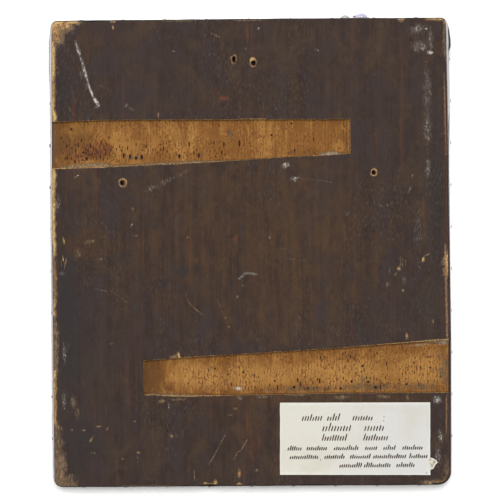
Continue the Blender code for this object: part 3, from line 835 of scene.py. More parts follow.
def back_points(taken):
    """Loose points over the back, closer together at its marks and in its grooves."""
    low, high = PLAN_LOW, -PLAN_LOW + 1.5
    count = np.ceil((high - low) / CELL).astype(int)
    levels = np.ones(count, int)
    marks = [(x, y, max(w, h), 3) for x, y, w, h, *_ in NICKS + WHITE_MARKS if max(w, h) < SMALL_MARK]
    lines = [(half, np.reshape(line, (-1, 2))) for _, half, _, *line in SCRATCHES]
    lines.append((CHALK_HALF, [point[:2] for point in CHALK_STROKE]))
    marks += [(x, y, half, 3) for half, line in lines for x, y in divided(line, MARK_STEP, False)]
    marks += [(x, y, max(w, h) * 0.5, 2) for x, y, w, h, _ in RED_STREAKS]
    marks += [(hole[4], hole[5], CHIP_HALF, 3) for hole in NAIL_HOLES]
    marks += [(x, y, reach, 2) for x, y, reach, *_ in EDGE_WEAR]
    for x, y, reach, level in marks:
        first = np.maximum(np.floor((np.array((x, y)) - reach - MARK_MARGIN - low) / CELL).astype(int), 0)
        last = np.ceil((np.array((x, y)) + reach + MARK_MARGIN - low) / CELL).astype(int)
        block = levels[first[0] : last[0], first[1] : last[1]]
        np.maximum(block, level, out=block)
    made = []
    for level in (1, 2, 3):
        cells = np.argwhere(levels == level)
        for k in range(level * level):
            share = (np.array((k % level, k // level)) + 0.5) / level
            shake = [lattice(cells[:, 0] * 3 + k, cells[:, 1] * 3 + axis, 40 + level) for axis in (0, 1)]
            made.append(low + (cells + share + (np.array(shake).T - 0.5) * UNEVEN_POINTS / level) * CELL)
    made = np.concatenate(made)
    for groove in GROOVES:
        made = made[np.minimum.reduce(groove.depths_in(made)) < -LIP_ROWS[-1] - 0.5]
    made = made[line_distance(made, board_plan()) > EDGE_RINGS[-1] + 0.6]
    floors = []
    for groove in GROOVES:
        x, y = np.meshgrid(np.arange(-132, 133, FLOOR_SPACING[0]), np.arange(-100, 95, FLOOR_SPACING[1]))
        floor = np.column_stack((x.ravel(), y.ravel()))
        floor = floor[np.minimum.reduce(groove.depths_in(floor)) > WALL_BAND + 0.35]
        i, j = np.round(floor * 10).astype(int).T
        shake = np.column_stack((lattice(i, j, 51), lattice(i, j, 52))) - 0.5
        floors.append(floor + shake * (0.3, 0.5))
    return clear_of(np.concatenate([made, *floors]), taken, LEAST_SPACING)


def smooth_height(places):
    """The back's own unevenness: a slight warp, plane marks and the raised grain."""
    x, y = places.T
    height = 0.14 * soft_noise(x / 90, y / 120, 81) + 0.06 * soft_noise(x / 22, y / 60, 82)
    return height + 0.03 * soft_noise(x / 3.2, y / 26, 83)


def edge_wear(places, gap):
    """How far the arris is rounded in and down near each place, and how bare it is."""
    reach, drop, bare = (np.full(len(places), value) for value in (PLAIN_ROUND, PLAIN_ROUND, 0.0))
    near = gap < WEAR_REACH
    ragged = 1 + 0.4 * rough(places[near][:, 0] * 0.3, places[near][:, 1] * 0.3, 85)
    for x, y, half, wide, deep, strength in EDGE_WEAR:
        here = ease(1.6 - np.hypot(*(places[near] - (x, y)).T) / half)
        at_least(reach, near, wide * here * ragged)
        at_least(drop, near, deep * here)
        at_least(bare, near, strength * here * ease(1.35 - gap[near] / (wide * ragged)))
    return reach, drop, bare


def wear_edges(places, made, see):
    """Rounds the arris down, bares it where it is worn, paints shade along the right arris and takes the
    bites out of the edge.
    """
    x, y = places.T
    gap = line_distance(places, board_plan())
    reach, drop, see["bare"] = edge_wear(places, gap)
    # painted shade: a dark line along the outermost part of the right arris
    see["dark"] = 0.95 * ease(2.8 - gap / 0.5) * (x > PAINTED_SHADE_FROM_X) * ease((PAINTED_SHADE_BELOW_Y - y) / 5)
    inward = np.clip(1 - gap / reach, 0, 1)
    made[:, 2] -= drop * (1 - np.sqrt(1 - inward * inward))
    bites = spots(places, [(*place, half, BITE_REACH, deep) for *place, half, deep in EDGE_BITES])
    bites = bites + 0.1 * (1 + soft_noise(x / 7, y / 7, 87)) * ease(1 - gap / 3)
    made[:, :2] *= 1 - bites[:, None] * ease(1 - gap / 4)[:, None] / np.hypot(x, y)[:, None]


def mark_back(places, made, see):
    """Cuts the nicks and scratches, and lays on the white marks and the stains."""
    for *place, wide, high, turn, deep in NICKS:
        near = close_to(places, place, 1.7 * max(wide, high))
        made[near, 2] -= deep * ease(1.35 - spot(places[near], *place, wide, high, turn))
    nicks = [(*nick[:5], 0.42 + 0.8 * nick[5]) for nick in NICKS]
    see["bare"] = np.maximum(see["bare"], spots(places, nicks))
    broken = 0.8 + 0.45 * rough(*(places * 0.33).T, 89)
    stroke = broken * ease(1.5 - line_distance(places, CHALK_STROKE, False))
    see["white"] = np.maximum(spots(places, WHITE_MARKS), stroke)
    for bare, half, strength, *line in SCRATCHES:
        key = "bare" if bare else "white"
        share = line_distance(places, np.reshape(line, (-1, 2)), False) / half
        see[key] = np.maximum(see[key], strength * ease(1.5 - share))
        made[:, 2] -= SCRATCH_DEPTH * ease(1.3 - share)
    for key, table in BACK_MARKS:
        see[key] = spots(places, table)


def cut_grooves(places, made, see):
    """Wears the grooves' lips, and puts what is within them on their walls and floors."""
    for number, groove in enumerate(GROOVES):
        depths = groove.depths_in(places)
        least = np.minimum.reduce(depths)
        by_low, by_end = least == depths[0], least == depths[2]
        *_, low_lip, high_lip = groove.at(places[:, 0])
        lip = np.where(by_end, END_LIP, np.where(by_low, low_lip, high_lip))
        near = (least < 0) & (least > -LIP_REACH)
        made[near, 2] -= LIP_FALL * np.clip(lip + least, 0, None)[near]
        at_least(see["bare"], near, ease(1.25 + least / lip)[near])
        within = least >= -1e-4
        shape, torn, fall = groove_shape(groove, number, places[within])
        shape[:, 2] += made[within, 2] * (1 - fall)
        made[within] = shape
        see["raw"][within] = ease(fall * 6)
        see["torn"][within] = torn
        see["bare"][within] = 1 - ease(fall * 3)
        for key, table in GROOVE_MARKS:
            see[key][within] = spots(shape[:, :2], table)


def sink_worm_holes(places, made, see):
    """Sinks the worm holes and paints shade in them, the larger ones the darker."""
    for x, y, wide, high, deep in PITS:
        near = close_to(places, (x, y), 1.3 * max(wide, high))
        share = spot(places[near], x, y, wide, high)
        wall = 0.8 * ease((1.02 - share) / 0.38)
        made[near, 2] -= deep * np.where(share > PIT_FLOOR, wall, 0.8 + 0.3 * (PIT_FLOOR - share))
        # painted shade in the worm hole, stronger for the larger ones
        shade = 0.2 + 0.8 * wide * high + 0.4 * lattice(int(x * 9), int(y * 9), 93)
        at_least(see["dark"], near, min(1.0, shade) * ease((1.15 - share) / 0.4))


def sink_nail_holes(places, made, see):
    """Sinks the nail holes, each with its chipped rim, bares the wood round them and darkens it with a red
    stain, and paints shade in and just round each hole.
    """
    for index, (x, y, wide, high, *rim) in enumerate(NAIL_HOLES):
        near = close_to(places, (x, y), NAIL_HOLE_REACH)
        here = places[near]
        hole = spot(here, x, y, wide, high, 0, HOLE_SWAY, index)
        edge = spot(here, *rim, 0, CHIP_SWAY, index + 7)
        chip = np.clip((1 - edge) / np.maximum((1 - edge) + 0.6 * (hole - 1), 1e-3), 0, 1)
        deep = np.clip((1 - hole) / (1 - HOLE_PINCH), 0, 1)
        bottom = 0.95 / HOLE_PINCH
        spread = np.where(hole > HOLE_PINCH, (1 - 0.05 * deep) / np.maximum(hole, 1e-3), bottom)
        shape = made[near]
        bore = hole < 1.0001
        shape[bore, :2] = (here + (here - (x, y)) * (spread - 1)[:, None])[bore]
        fall = HOLE_RIM_DEPTH + (HOLE_DEPTH - HOLE_RIM_DEPTH) * deep + np.clip(HOLE_PINCH - hole, 0, 1)
        shape[:, 2] -= np.where(bore, fall, np.where(edge < 1, HOLE_RIM_DEPTH * chip, 0))
        made[near] = shape
        at_least(see["bare"], near, 1.25 * ease((1.2 - edge) / 0.3) * ease((hole - 1.0) / 0.3))
        at_least(see["red"], near, 0.8 * ease((1.6 - edge) / 0.4) * ease((edge - 0.9) / 0.3))
        # painted shade inside the nail hole
        at_least(see["dark"], near, ease((1.25 - hole) / 0.35))


def shaped_back(places):
    """Where each place of the back's plan lies in space, in millimetres, and what shows there."""
    made = np.column_stack((places, smooth_height(places)))
    see = {key: np.zeros(len(places)) for key in ("raw", "torn")}
    for step in (wear_edges, mark_back, cut_grooves, sink_worm_holes, sink_nail_holes):
        step(places, made, see)
    made[:, 2] += BACK
    return made, see


PITS = pits()


def board_mesh():
    """The board's whole surface: its worn back, its sides and its recessed front."""
    outline = board_plan()
    loops = [divided(outline, 1.1)]
    loops += [divided(board_plan(inset), 1.1 + 0.15 * inset) for inset in EDGE_RINGS]
    for index, hole in enumerate(NAIL_HOLES):
        loops.append(ring(*hole[4:], HOLE_STEPS, 1.0, CHIP_SWAY, index + 7))
        loops += [ring(*hole[:4], HOLE_STEPS, size, HOLE_SWAY, index) for size in (1.0, 0.8, HOLE_PINCH)]
    for pit in PITS:
        loops += [ring(*pit[:4], PIT_STEPS), ring(*pit[:4], PIT_STEPS - 2, PIT_FLOOR)]
    rails = [g.rail(WALL_BAND * k / WALL_ROWS) for g in GROOVES for k in range(WALL_ROWS + 1)]
    rails += [g.rail(-row) for g in GROOVES for row in LIP_ROWS]
    centres = np.array([hole[:2] for hole in (*NAIL_HOLES, *PITS)])
    loose = np.concatenate((back_points(loops + rails + [centres]), centres))
    places, faces = triangulated(loops, rails, loose, outline)
    back, see = shaped_back(places)
    border = border_of(faces)

    low_z = BOARD_LOW.z / MM
    levels = []
    for share in SIDE_ROWS:
        level = back[border]
        level[:, 2] += (low_z + FOOT - level[:, 2]) * share
        sway = 0.12 * rough(level[:, 0] * 0.12 + level[:, 1] * 0.12, level[:, 2] * 0.3, 91)
        level[:, :2] *= 1 - (np.abs(sway) * min(1.0, share * 6) / ABOUT_HALF)[:, None]
        levels.append(level)
    foot = at_height(levels[-1][:, :2] * (1 - FOOT_IN / ABOUT_HALF), low_z)
    middle, half = cloth_frame()
    recess = divided(middle + (half + RECESS_GAP) * SQUARE, RECESS_SPACING)
    walls = [at_height(recess, z) for z in (low_z, low_z + RECESS_DEPTH)]
    verts = np.concatenate((back, *levels, foot, *walls))

    rows = len(SIDE_ROWS) + 1
    rings = [border, *(len(back) + np.arange(rows * len(border)).reshape(rows, -1))]
    mouth, floor = len(verts) - np.arange(2 * len(recess), 0, -1).reshape(2, -1)
    margin = triangulated([foot[:, :2], recess], [], [], foot[:, :2], recess)[1]
    bottom = triangulated([recess], [], [], recess)[1]
    all_faces = [faces, *(band(*pair) for pair in zip(rings[:-1], rings[1:], strict=True))]
    all_faces += [band(mouth, floor), np.append(rings[-1], mouth)[margin[:, ::-1]], floor[bottom[:, ::-1]]]
    values = {key: np.append(found, np.zeros(len(verts) - len(back))) for key, found in see.items()}
    sides = slice(len(back), len(back) + len(SIDE_ROWS) * len(border))
    values["bare"][sides] = np.outer(ease(1 - SIDE_ROWS * 4), see["bare"][border]).ravel()
    return array_mesh("wooden_board.worn", placed(verts), np.concatenate(all_faces), values)


SEEN = ("bare", "raw", "torn", "dark", "white", "warm", "dull", "red", "grey")


def stained_wood(look):
    """Dark stain over pine, with worn, chalked, torn and worm-eaten places by their attributes, and painted
    shade in the holes and along the right arris.
    """
    wood = Finish("stained_wood")
    fibre = wood.noise((1100, 30, 1100), 4, 0.65)
    streak = wood.noise((190, 5, 190), 4, 0.6, 0.4)
    cloud = wood.noise((26, 15, 26), 4, 0.6)
    blot = wood.noise((150, 95, 150), 4, 0.68, 0.6, (4.0, 2.0, 0.0))
    hue = wood.noise((60, 34, 60), 4, 0.7, 0.8, (1.0, 8.0, 0.0))
    grit = wood.noise((1300, 800, 1300), 3, 0.7)
    ragged = wood.noise((520, 170, 520), 4, 0.75, 0.3, (7.0, 1.0, 0.0))
    crumb = wood.noise((950, 620, 950), 3, 0.7, 0.0, (2.0, 9.0, 0.0))
    tick = wood.noise((1300, 330, 1300), 3, 0.6, 0.2, (5.0, 3.0, 0.0))
    seen = {key: wood.attribute(key) for key in SEEN}
    between, times, shaken, layered = wood.between, wood.times, wood.shaken, wood.layered

    def patch(key, low, high, by=ragged, sway=1.2):
        """Where an attribute shows, with a ragged border."""
        return times(between(shaken(seen[key], by, sway), low, high), between(seen[key], 0.0, 0.15))

    tone = shaken(wood.math("ADD", times(streak, 0.3), times(fibre, 0.7)), blot, 0.7)
    calm = shaken(wood.math("ADD", times(streak, 0.55), times(fibre, 0.45)), blot, 0.7)
    grain = between(calm, 0.18, 0.84)
    reddish = between(wood.noise((240, 8, 240), 3, 0.5, 0.2, (0.0, 5.0, 0.0)), 0.58, 0.74)
    thinned = wood.mix(between(crumb, 0.3, 0.66), look.rubbed_dark, look.thinned)
    stain = layered(
        wood.mix(grain, look.stain_dark, look.stain),
        (times(between(hue, 0.5, 0.36), 0.6), look.stain_grey),
        (times(between(hue, 0.5, 0.66), 0.44), look.stain_olive),
        (times(patch("warm", 0.1, 0.9, hue, 1.6), 0.85), wood.mix(grain, look.stain_dark, look.stain_warm)),
        (times(patch("dull", 0.1, 0.9, hue, 1.6), 0.8), look.stain_dull),
        (times(reddish, 0.24), look.stain_red),
        (times(patch("red", 0.3, 1.1), 0.7), look.stain_red),
        (times(times(between(tick, 0.52, 0.72), between(cloud, 0.42, 0.64)), 0.42), look.dust),
        (times(times(between(crumb, 0.64, 0.74), between(hue, 0.46, 0.62)), 0.6), look.rubbed_dark),
        (times(between(fibre, 0.38, 0.28), 0.1), look.stain_dark),
        (times(between(shaken(seen["bare"], tick, 1.1), 0.22, 0.75), 0.75), thinned),
    )
    fresh = shaken(between(seen["bare"], 0.45, 1.25), ragged, 1.6)
    pale = layered(
        wood.mix(between(fresh, 0.1, 0.6), look.rubbed_dark, look.rubbed_red),
        (between(shaken(fresh, crumb, 1.6), 0.2, 0.7), look.rubbed),
        (times(between(hue, 0.52, 0.62), 0.6), look.rubbed_red),
        (times(between(shaken(blot, tick, 0.6), 0.52, 0.64), 0.6), look.rubbed_dark),
        (times(patch("red", 0.4, 0.8), 0.75), look.rubbed_red),
        (times(between(grit, 0.55, 0.64), 0.85), look.stain),
    )

    ripple = between(wood.wave(wood.place, 150.0, 3.6, 3.0, 1.4), 0.4, 0.0)
    frayed = wood.mix(between(fibre, 0.35, 0.72), look.raw_brown, look.torn)
    soiled = wood.math("MAXIMUM", between(blot, 0.36, 0.56), between(seen["grey"], 0.1, 0.4))
    raw = layered(
        wood.mix(between(shaken(tone, blot, 0.4), 0.3, 0.72), look.raw_dark, look.raw),
        (times(between(hue, 0.42, 0.66), 0.55), look.raw_gold),
        (times(between(hue, 0.5, 0.36), 0.36), look.raw_dark),
        (times(patch("warm", 0.25, 0.9, blot, 1.2), 0.6), look.raw_gold),
        (times(patch("dull", 0.25, 0.9, blot, 1.4), 0.8), look.raw_brown),
        (times(times(ripple, between(blot, 0.36, 0.62)), 0.46), look.raw_fleck),
        (times(times(between(crumb, 0.53, 0.62), soiled), 0.8), look.raw_fleck),
        (times(times(between(tick, 0.54, 0.64), soiled), 0.85), look.raw_red),
        (times(patch("red", 0.4, 0.95, by=tick, sway=2.6), 0.8), look.raw_red),
        (times(times(patch("red", 0.5, 0.9), between(tick, 0.52, 0.6)), 0.8), look.hole),
        (times(patch("grey", 0.3, 0.95, blot, 1.6), 0.85), look.raw_grey),
        (times(patch("torn", 0.35, 0.8), 0.8), frayed),
    )

    haze = times(between(shaken(seen["white"], tick, 1.3), 0.25, 0.9), between(seen["white"], 0.0, 0.3))
    chalk = times(patch("white", 0.72, 0.92, crumb, 2.5), between(tick, 0.42, 0.56, 0.2, 1.0))
    # Painted shade in the worm and nail holes and along the right arris: brown flecks where it is weak, near
    # black where it is strong
    deep = wood.mix(between(seen["dark"], 0.5, 0.9), look.raw_fleck, look.hole)
    colour = layered(
        stain,
        (patch("bare", 0.6, 0.9, by=crumb, sway=1.7), pale),
        (patch("raw", 0.4, 0.6, sway=0.3), raw),
        (wood.math("MAXIMUM", times(haze, 0.16), times(chalk, 0.9)), look.chalk),
        (patch("dark", 0.15, 0.8, crumb, 0.25), deep),
    )
    relief = wood.bump(fibre, 0.00008, 0.5)
    relief = wood.bump(grit, 0.00005, 0.4, relief)
    relief = wood.bump(blot, 0.0003, 0.3, relief)
    rough_wood = shaken(between(seen["raw"], 0.2, 0.7, 0.7, 0.88), cloud, 0.25)
    return wood.finish(Base_Color=colour, Roughness=rough_wood, Normal=relief, Specular_IOR_Level=0.12)


# ---- the metal cover

COVER_GAP = 0.35
SHEET = 0.5
PLATE_TOP = 0.85  # the inner face of the border plate
RIM = BACK - 7.5
LIP_WIDTH = 3.0  # how far the border reaches in over the cloth
BEND = 0.9
# How far the turned-out rim stands out from the board, by y on the long sides and by x on the ends
LEFT_RIM = numbers("""
    -155 1.1, -120 1.5, -60 1.4, -20 1.3, 20 1.4, 60 1.5, 92 1.4, 108 1.7, 116 2, 125 2.3, 143 2.3,
    148 1.6, 155 .9
""")
RIGHT_RIM = numbers("""
    -155 .88, 35 .9, 68 1.2, 81 1.6, 108 2, 128 2, 134.6 2.5, 137 3.5, 141.5 3.6, 148 2.9, 152 1.9,
    155.6 1.1
""")
TOP_RIM = numbers("-132 .9, -100 1.1, 20 1.2, 80 1, 110 1, 132 .9")
BOTTOM_RIM = numbers("-132 .9, 132 .9")
VINE_WAVE = 41.0
VINE_SWING = 6.4
BORDER_BEAD = 2.3  # from one bead of the border to the next
RELIEF = 0.4  # how high the embossing stands
BORDER_ROWS = 36
BEND_TURNS = (0.4, 0.8, 1.2)
OUTER_ROWS = (1.3, 4, 7, 10, 13, 16, 18, 19.4)
INNER_ROWS = (20.4, 19, 17, 14, 10, 6, 2)
HEAD_RISE = 0.9  # how far a nail's head stands out
FLAT_RISE = 0.4  # where it is hammered flat
NAILS = sorted(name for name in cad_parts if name.startswith("cover_nail"))
PROUD_NAILS = (72.8, 44.7, -95.8, -123.9)  # the y of the left wall's nails that stand proud
# The rings of a nail's head: shares of its radius and of its rise
HEAD_RINGS = ((1.0, 0.0), (1.04, 0.22), (0.9, 0.5), (0.62, 0.8), (0.3, 0.95))
HEAD_STEPS = 14


def ridge(share):
    """A rounded rise: 1 in the middle, 0 from share 1 on."""
    return np.sqrt(np.clip(1 - share * share, 0, 1))


def petals(x, y, radius, count):
    """A flower of round petals and a raised middle."""
    reach, turn = np.hypot(x, y), np.arctan2(y, x)
    edge = radius * (0.62 + 0.38 * np.abs(np.cos(count * turn / 2)))
    flower = ridge(reach / edge) * (0.55 + 0.45 * np.abs(np.sin(count * turn / 2 + math.pi / 2)))
    return np.maximum(flower * ease(reach / radius * 3 - 0.4), ridge(reach / (0.24 * radius)))


def leaf(x, y, long, wide, turn):
    """A pointed leaf with a cut vein, its stalk at the start."""
    along, beside = turned(x, y, turn)
    along, beside = along / long, beside / wide
    shape = ridge(beside / np.maximum(4 * along * (1 - along), 1e-3)) * (along > 0) * (along < 1)
    return shape * (1 - 0.6 * ridge(beside * 5))


def vine(u, v, wave, drop, flower, rise, blade):
    """The flowers and the leaves of a vine that winds along u."""
    flowers, leaves = 0.0, 0.0
    for sign in (1, -1):
        at = (np.round(u / wave - 0.25 * sign) + 0.25 * sign) * wave
        flowers = np.maximum(flowers, petals(u - at, v + sign * drop, *flower))
        for lean in (0.17, -0.17):
            at = (np.round(u / wave - 0.25 * sign - lean) + 0.25 * sign + lean) * wave
            leaves = np.maximum(leaves, leaf(u - at, v - sign * rise, *blade, math.atan2(sign, 4.5 * lean)))
    return flowers, leaves


def round_border(x, y, inner, wide, wave):
    """How far past a border's inner edges each place is, where it is along and across it, and the wave."""
    over = np.column_stack((np.abs(x), np.abs(y))) - inner
    upright = over[:, 0] > 0
    v = np.where(upright, over[:, 0] - wide[0] / 2, over[:, 1] - wide[1] / 2)
    length = 2 * np.where(upright, inner[1], inner[0])
    return over, np.where(upright, y, x), v, length / np.round(length / wave)


def border_relief(x, y, inner, outer):
    """How high the border's vine, flowers and beads stand at each place, from 0 to 1."""
    wide = outer - inner
    over, u, v, wave = round_border(x, y, inner, wide, VINE_WAVE)
    swing = math.tau * u / wave
    lean = np.sqrt(1 + (VINE_SWING * math.tau / wave * np.cos(swing)) ** 2)
    stem = 0.8 * ridge((v - VINE_SWING * np.sin(swing)) / lean / 0.85)
    flowers, leaves = vine(u, v, wave, 3.2, (6.4, 6), VINE_SWING * 0.48, (8.2, 2.5))
    block = over - wide / 2
    hoop = ridge((np.hypot(*block.T) - 0.41 * wide[0]) / 0.7)
    corner = np.maximum(petals(*block.T, 0.36 * wide[0], 8), hoop)
    for side in 0.4 * wide[0] * SQUARE:
        corner = np.maximum(corner, petals(*(block - side).T, 2.4, 5))
    height = np.where((over > 0).all(axis=1), corner, np.maximum.reduce((stem, flowers, 0.9 * leaves)))
    along = u / BORDER_BEAD
    for row in (over.max(axis=1) - 2.0, (wide - over).min(axis=1) - 2.4):
        bead = np.hypot(row, (along - np.round(along)) * BORDER_BEAD)
        height = np.maximum(np.where(np.abs(row) < 1.35, 0.0, height), ridge(bead))
    return height


def cover_mesh():
    """The bent sheet: an embossed border in front and walls that flare at their rim."""
    edge = divided(board_plan(-COVER_GAP), 1.1)
    tangent = np.roll(edge, -2, axis=0) - np.roll(edge, 2, axis=0)
    out = np.column_stack((tangent[:, 1], -tangent[:, 0])) / np.hypot(*tangent.T)[:, None]
    x, y = edge.T
    sides = np.where(x < 0, by_table(y, LEFT_RIM), by_table(y, RIGHT_RIM))
    ends = np.where(y < 0, by_table(x, BOTTOM_RIM), by_table(x, TOP_RIM))
    share = out[:, 0] ** 2
    run = np.cumsum(np.hypot(*(np.roll(edge, -1, axis=0) - edge).T))
    flare = sides * share + ends * (1 - share) - COVER_GAP - SHEET + 0.16 * rough(run / 9, 0.0, 101)
    flare = np.clip(flare, 0.04, None)
    fold = 0.75 * np.clip(flare - 1.2, 0, None)
    rim = RIM + 0.3 * rough(run / 14, 3.0, 103) - 0.5 * ease(rough(run / 23, 5.0, 105) * 3 - 0.8)

    half = np.abs(edge).max(axis=0)
    middle, opening = cloth_frame()
    opening = opening - LIP_WIDTH + RECESS_GAP
    inside_edge = middle + edge / half * opening

    def level(z, away):
        """A row of the walls: its height, and how far out of the sheet's inner face it lies."""
        offset = away + 0.14 * rough(run / 17, z / 9, 107) * ease((z - 2) / 6)
        return at_height(edge + out * offset[:, None], z)

    def rolled(reach, more, drop):
        """A row of the rim: its share of the rim's width, an offset, and how far it lies below."""
        return np.column_stack((edge + out * (SHEET + flare * reach + more)[:, None], rim - drop))

    def plate(s, z):
        """A row of the border plate: its share of the way out, and its height."""
        return at_height(inside_edge + (edge - out * 0.3 - inside_edge) * s, z)

    # Each row of the sheet's section: its places, its tarnish and its dust; where the dust lies, the tarnish
    # amount only sets the painted shade on the rim
    rows = [(plate(0.0, PLATE_TOP - 0.2), 0.7, 0.0)]
    for s in np.linspace(0.0, 1.0, BORDER_ROWS):
        row = plate(s, 0.0)
        row[:, 2] = 0.02 + RELIEF * (1 - border_relief(*(row[:, :2] - middle).T, opening, half))
        rows.append((row, 0.25, 0.0))
    for t in BEND_TURNS:
        rows.append((level(BEND * (1 - math.cos(t)) + 0.02, SHEET - BEND * (1 - math.sin(t))), 0.3, 0.0))
    rows += [(level(z, SHEET), 0.4 if z == OUTER_ROWS[-1] else 0.3, 0.0) for z in OUTER_ROWS]
    # Painted shade: the rim is darkened along the top and bottom ends, on its wide outward flare and down the
    # right side below y 96; its outer rows carry amounts of 1.2 and 1.3 as painted shade on its outward slope
    end_painted_shade = 1.7 * (1 - share)
    painted_shade = end_painted_shade + share * (0.9 * np.clip(fold / 0.8, 0, 1) + 1.7 * (x > 0) * ease((96 - y) / 12))
    rows += [
        (rolled(0.1, 0, 1.6), 0.6, 0.0),
        (rolled(0.6, 0, 0.85), 0.9, 0.3),
        (rolled(1, -0.06, 0.5 + fold), 1.2, 1.0),
        (rolled(1, 0, 0.28 + fold), 1.3, 1.0),
        (rolled(1, -0.12 - 0.3 * fold, 0.04 + 0.6 * fold), 1.3 + painted_shade, 1.0),
        (rolled(1, -0.34 - fold, 0), 0.5 + painted_shade, 1.0),
        (rolled(0.5, -0.36, 0), 0.45 + end_painted_shade, 1.0),
        (rolled(0, -0.38, 0.02), 0.6 + end_painted_shade, 0.6),
        (rolled(0, -0.5, 0.3), 0.7, 0.0),
    ]
    rows += [(level(z, 0.0), 1.0, 0.0) for z in INNER_ROWS]
    rows += [(plate(s, PLATE_TOP), 0.9, 0.0) for s in (1.0, 0.75, 0.5, 0.25, 0.0)]
    count = len(edge)
    verts = np.concatenate([row[0] for row in rows])
    verts[:, 2] = np.clip(verts[:, 2], 0.0, None)
    seen = {
        key: np.concatenate([np.broadcast_to(row[at], count) for row in rows])
        for at, key in ((1, "tarnish"), (2, "rim"))
    }
    faces = np.array(skin(len(rows), count, looped=True))[:, ::-1]
    return array_mesh("metal_cover.bent", placed(verts), faces, seen)


def silvered(name, bright, dull, dark, tarnish=None, dust=None, metallic=0.92):
    """Dull silvering with brown tarnish in its hollows, fine scratches, and dust on its rim with painted
    shade at its outer edge.
    """
    metal = Finish(name)
    cloud = metal.noise(90, 4, 0.6)
    grit = metal.noise(900, 3, 0.7)
    scratch = metal.noise((2200, 90, 700), 2, 0.5, 0.8)
    amount = metal.attribute("tarnish") if tarnish is None else tarnish
    shade = metal.shaken(metal.shaken(amount, cloud, 1.3), grit, 0.5)
    colour = metal.layered(
        bright,
        (metal.between(shade, 0.1, 0.75), dull),
        (metal.between(shade, 0.62, 1.15), dark),
        (metal.times(metal.between(scratch, 0.6, 0.72), 0.35), bright),
    )
    gloss = metal.between(shade, 0.0, 1.1, 0.24, 0.62)
    relief = metal.bump(grit, 0.00006, 0.5, metal.bump(cloud, 0.0005, 0.3))
    if dust:
        dusty = metal.attribute("rim")
        # painted shade on the dusty rim: larger amounts darken it towards the tarnish colour
        painted_rim_shade = [
            (metal.between(shade, low, high), [share * value for value in dark])
            for low, high, share in ((0.85, 1.25, 0.6), (1.6, 2.1, 0.12))
        ]
        colour = metal.mix(dusty, colour, metal.layered(dust, *painted_rim_shade))
        gloss = metal.mix(dusty, gloss, (0.7, 0.7, 0.7))
        metallic = metal.between(dusty, 0.0, 1.0, metallic, 0.0)
    return metal.finish(Base_Color=colour, Roughness=gloss, Normal=relief, Metallic=metallic)


def nail_heads():
    """Round heads on the cover's walls, each a little different and most of them hammered flat."""
    heads = []
    for index, name in enumerate(NAILS):
        low, high = node_box(name)
        base, radius = (low + high) / 2, (high[2] - low[2]) / 2
        axis = int(abs(base[1]) / BOARD_HIGH.y > abs(base[0]) / BOARD_HIGH.x)
        out = np.zeros(3)
        out[axis] = np.sign(base[axis])
        base[axis] = out[axis] * (max(abs(low[axis]), abs(high[axis])) - HEAD_RISE)
        proud = out[0] < 0 and np.abs(base[1] - SHIFT[1] / MM - np.array(PROUD_NAILS)).min() < 4
        tall = HEAD_RISE if proud else FLAT_RISE
        rings = [(radius * wide, radius * wide, rise * tall) for wide, rise in HEAD_RINGS]

        def uneven(turn, row, shift=7.0 * index):
            return 1 + 0.07 * soft_noise(turn + shift, row, 111)

        heads.append(lathed(rings, HEAD_STEPS, base, out, uneven))
    verts, faces = joined(heads)
    return smooth(array_mesh("nail_heads", verts * MM, faces))


# ---- papers

LABEL_CORNERS = ((18.9, -100.3), (119.1, -100.8), (118.8, -149.2), (18.5, -148.4))
LABEL_SPACING = 1.6
SCRAP_SPACING = 0.45
PAPER = 0.13
SCRAP_PAPER = 0.16
# The rows of pen strokes: y, height, and x from and to of each stretch
PEN_ROWS = numbers("""
    -112.6 2.7 33.6 46.8 50.4 59.2 67.4 81.2, -119.6 3.2 47.2 66.2 75.2 88.8,
    -126 2.6 46.8 63 74.4 90.2, -132.3 1.9 23.9 33.1 36.6 50.7 54.8 71.6 75.6 84.2 87.8 96 100.5 113.6,
    -138 1.9 25.3 44.3 48.4 62 65.5 78.7 81 102.3 105 116.6, -143.9 1.9 58.4 74 74.8 92.7 96.4 108.6
""")
PEN_DOTS = numbers("88.2 -110.2, 88 -112.9, 116.3 -147.9, 45.6 -138.6")
SCRAP_EDGE = numbers("""
    118.2 -137.6, 120.7 -138, 122.8 -139.4, 123.8 -140.9, 122.1 -142.6, 121 -145, 119 -145.8,
    117.9 -144.3, 118.2 -142.1, 116.2 -141.5, 115.3 -140.4, 116.8 -139.5
""")


def slab(outline, spacing, top, thick, seed):
    """A thin sheet with a given outline: fine triangles on top, their twins below and a rim."""
    outline = divided(outline, spacing)
    (x0, y0), (x1, y1) = outline.min(axis=0), outline.max(axis=0)
    grid = np.stack(np.meshgrid(np.arange(x0, x1, spacing), np.arange(y0, y1, spacing)), -1).reshape(-1, 2)
    x, y = (grid * 3).T
    shake = np.column_stack((soft_noise(x, y, seed), soft_noise(x, y, seed + 1)))
    grid = grid + 0.2 * spacing * shake
    grid = grid[inside(grid, outline) & (line_distance(grid, outline) > 0.6 * spacing)]
    places, faces = triangulated([outline], [], grid, outline)
    height = top(places)
    border = border_of(faces)
    count = len(places)
    upper = np.column_stack((places, height))
    under = np.column_stack((places, height - thick))
    all_faces = np.concatenate((faces, faces[:, ::-1] + count, band(border, border + count)))
    return np.concatenate((upper, under)), all_faces, places


def label_height(places):
    """The label's upper face, which lies on the board and lifts a little at its edges."""
    corners = np.array(LABEL_CORNERS)
    gap = line_distance(places, corners)
    x, y = places.T
    lift = 0.35 * ease(1 - gap / 7) * (0.5 + 0.5 * soft_noise(x / 26, y / 20, 121))
    curl = 0.5 * ease(1 - np.hypot(*(places - corners[2]).T) / 12)
    wave = 0.05 * (1 + soft_noise(x / 13, y / 11, 123))
    return BACK + smooth_height(places) + PAPER + 0.03 + lift + curl + wave


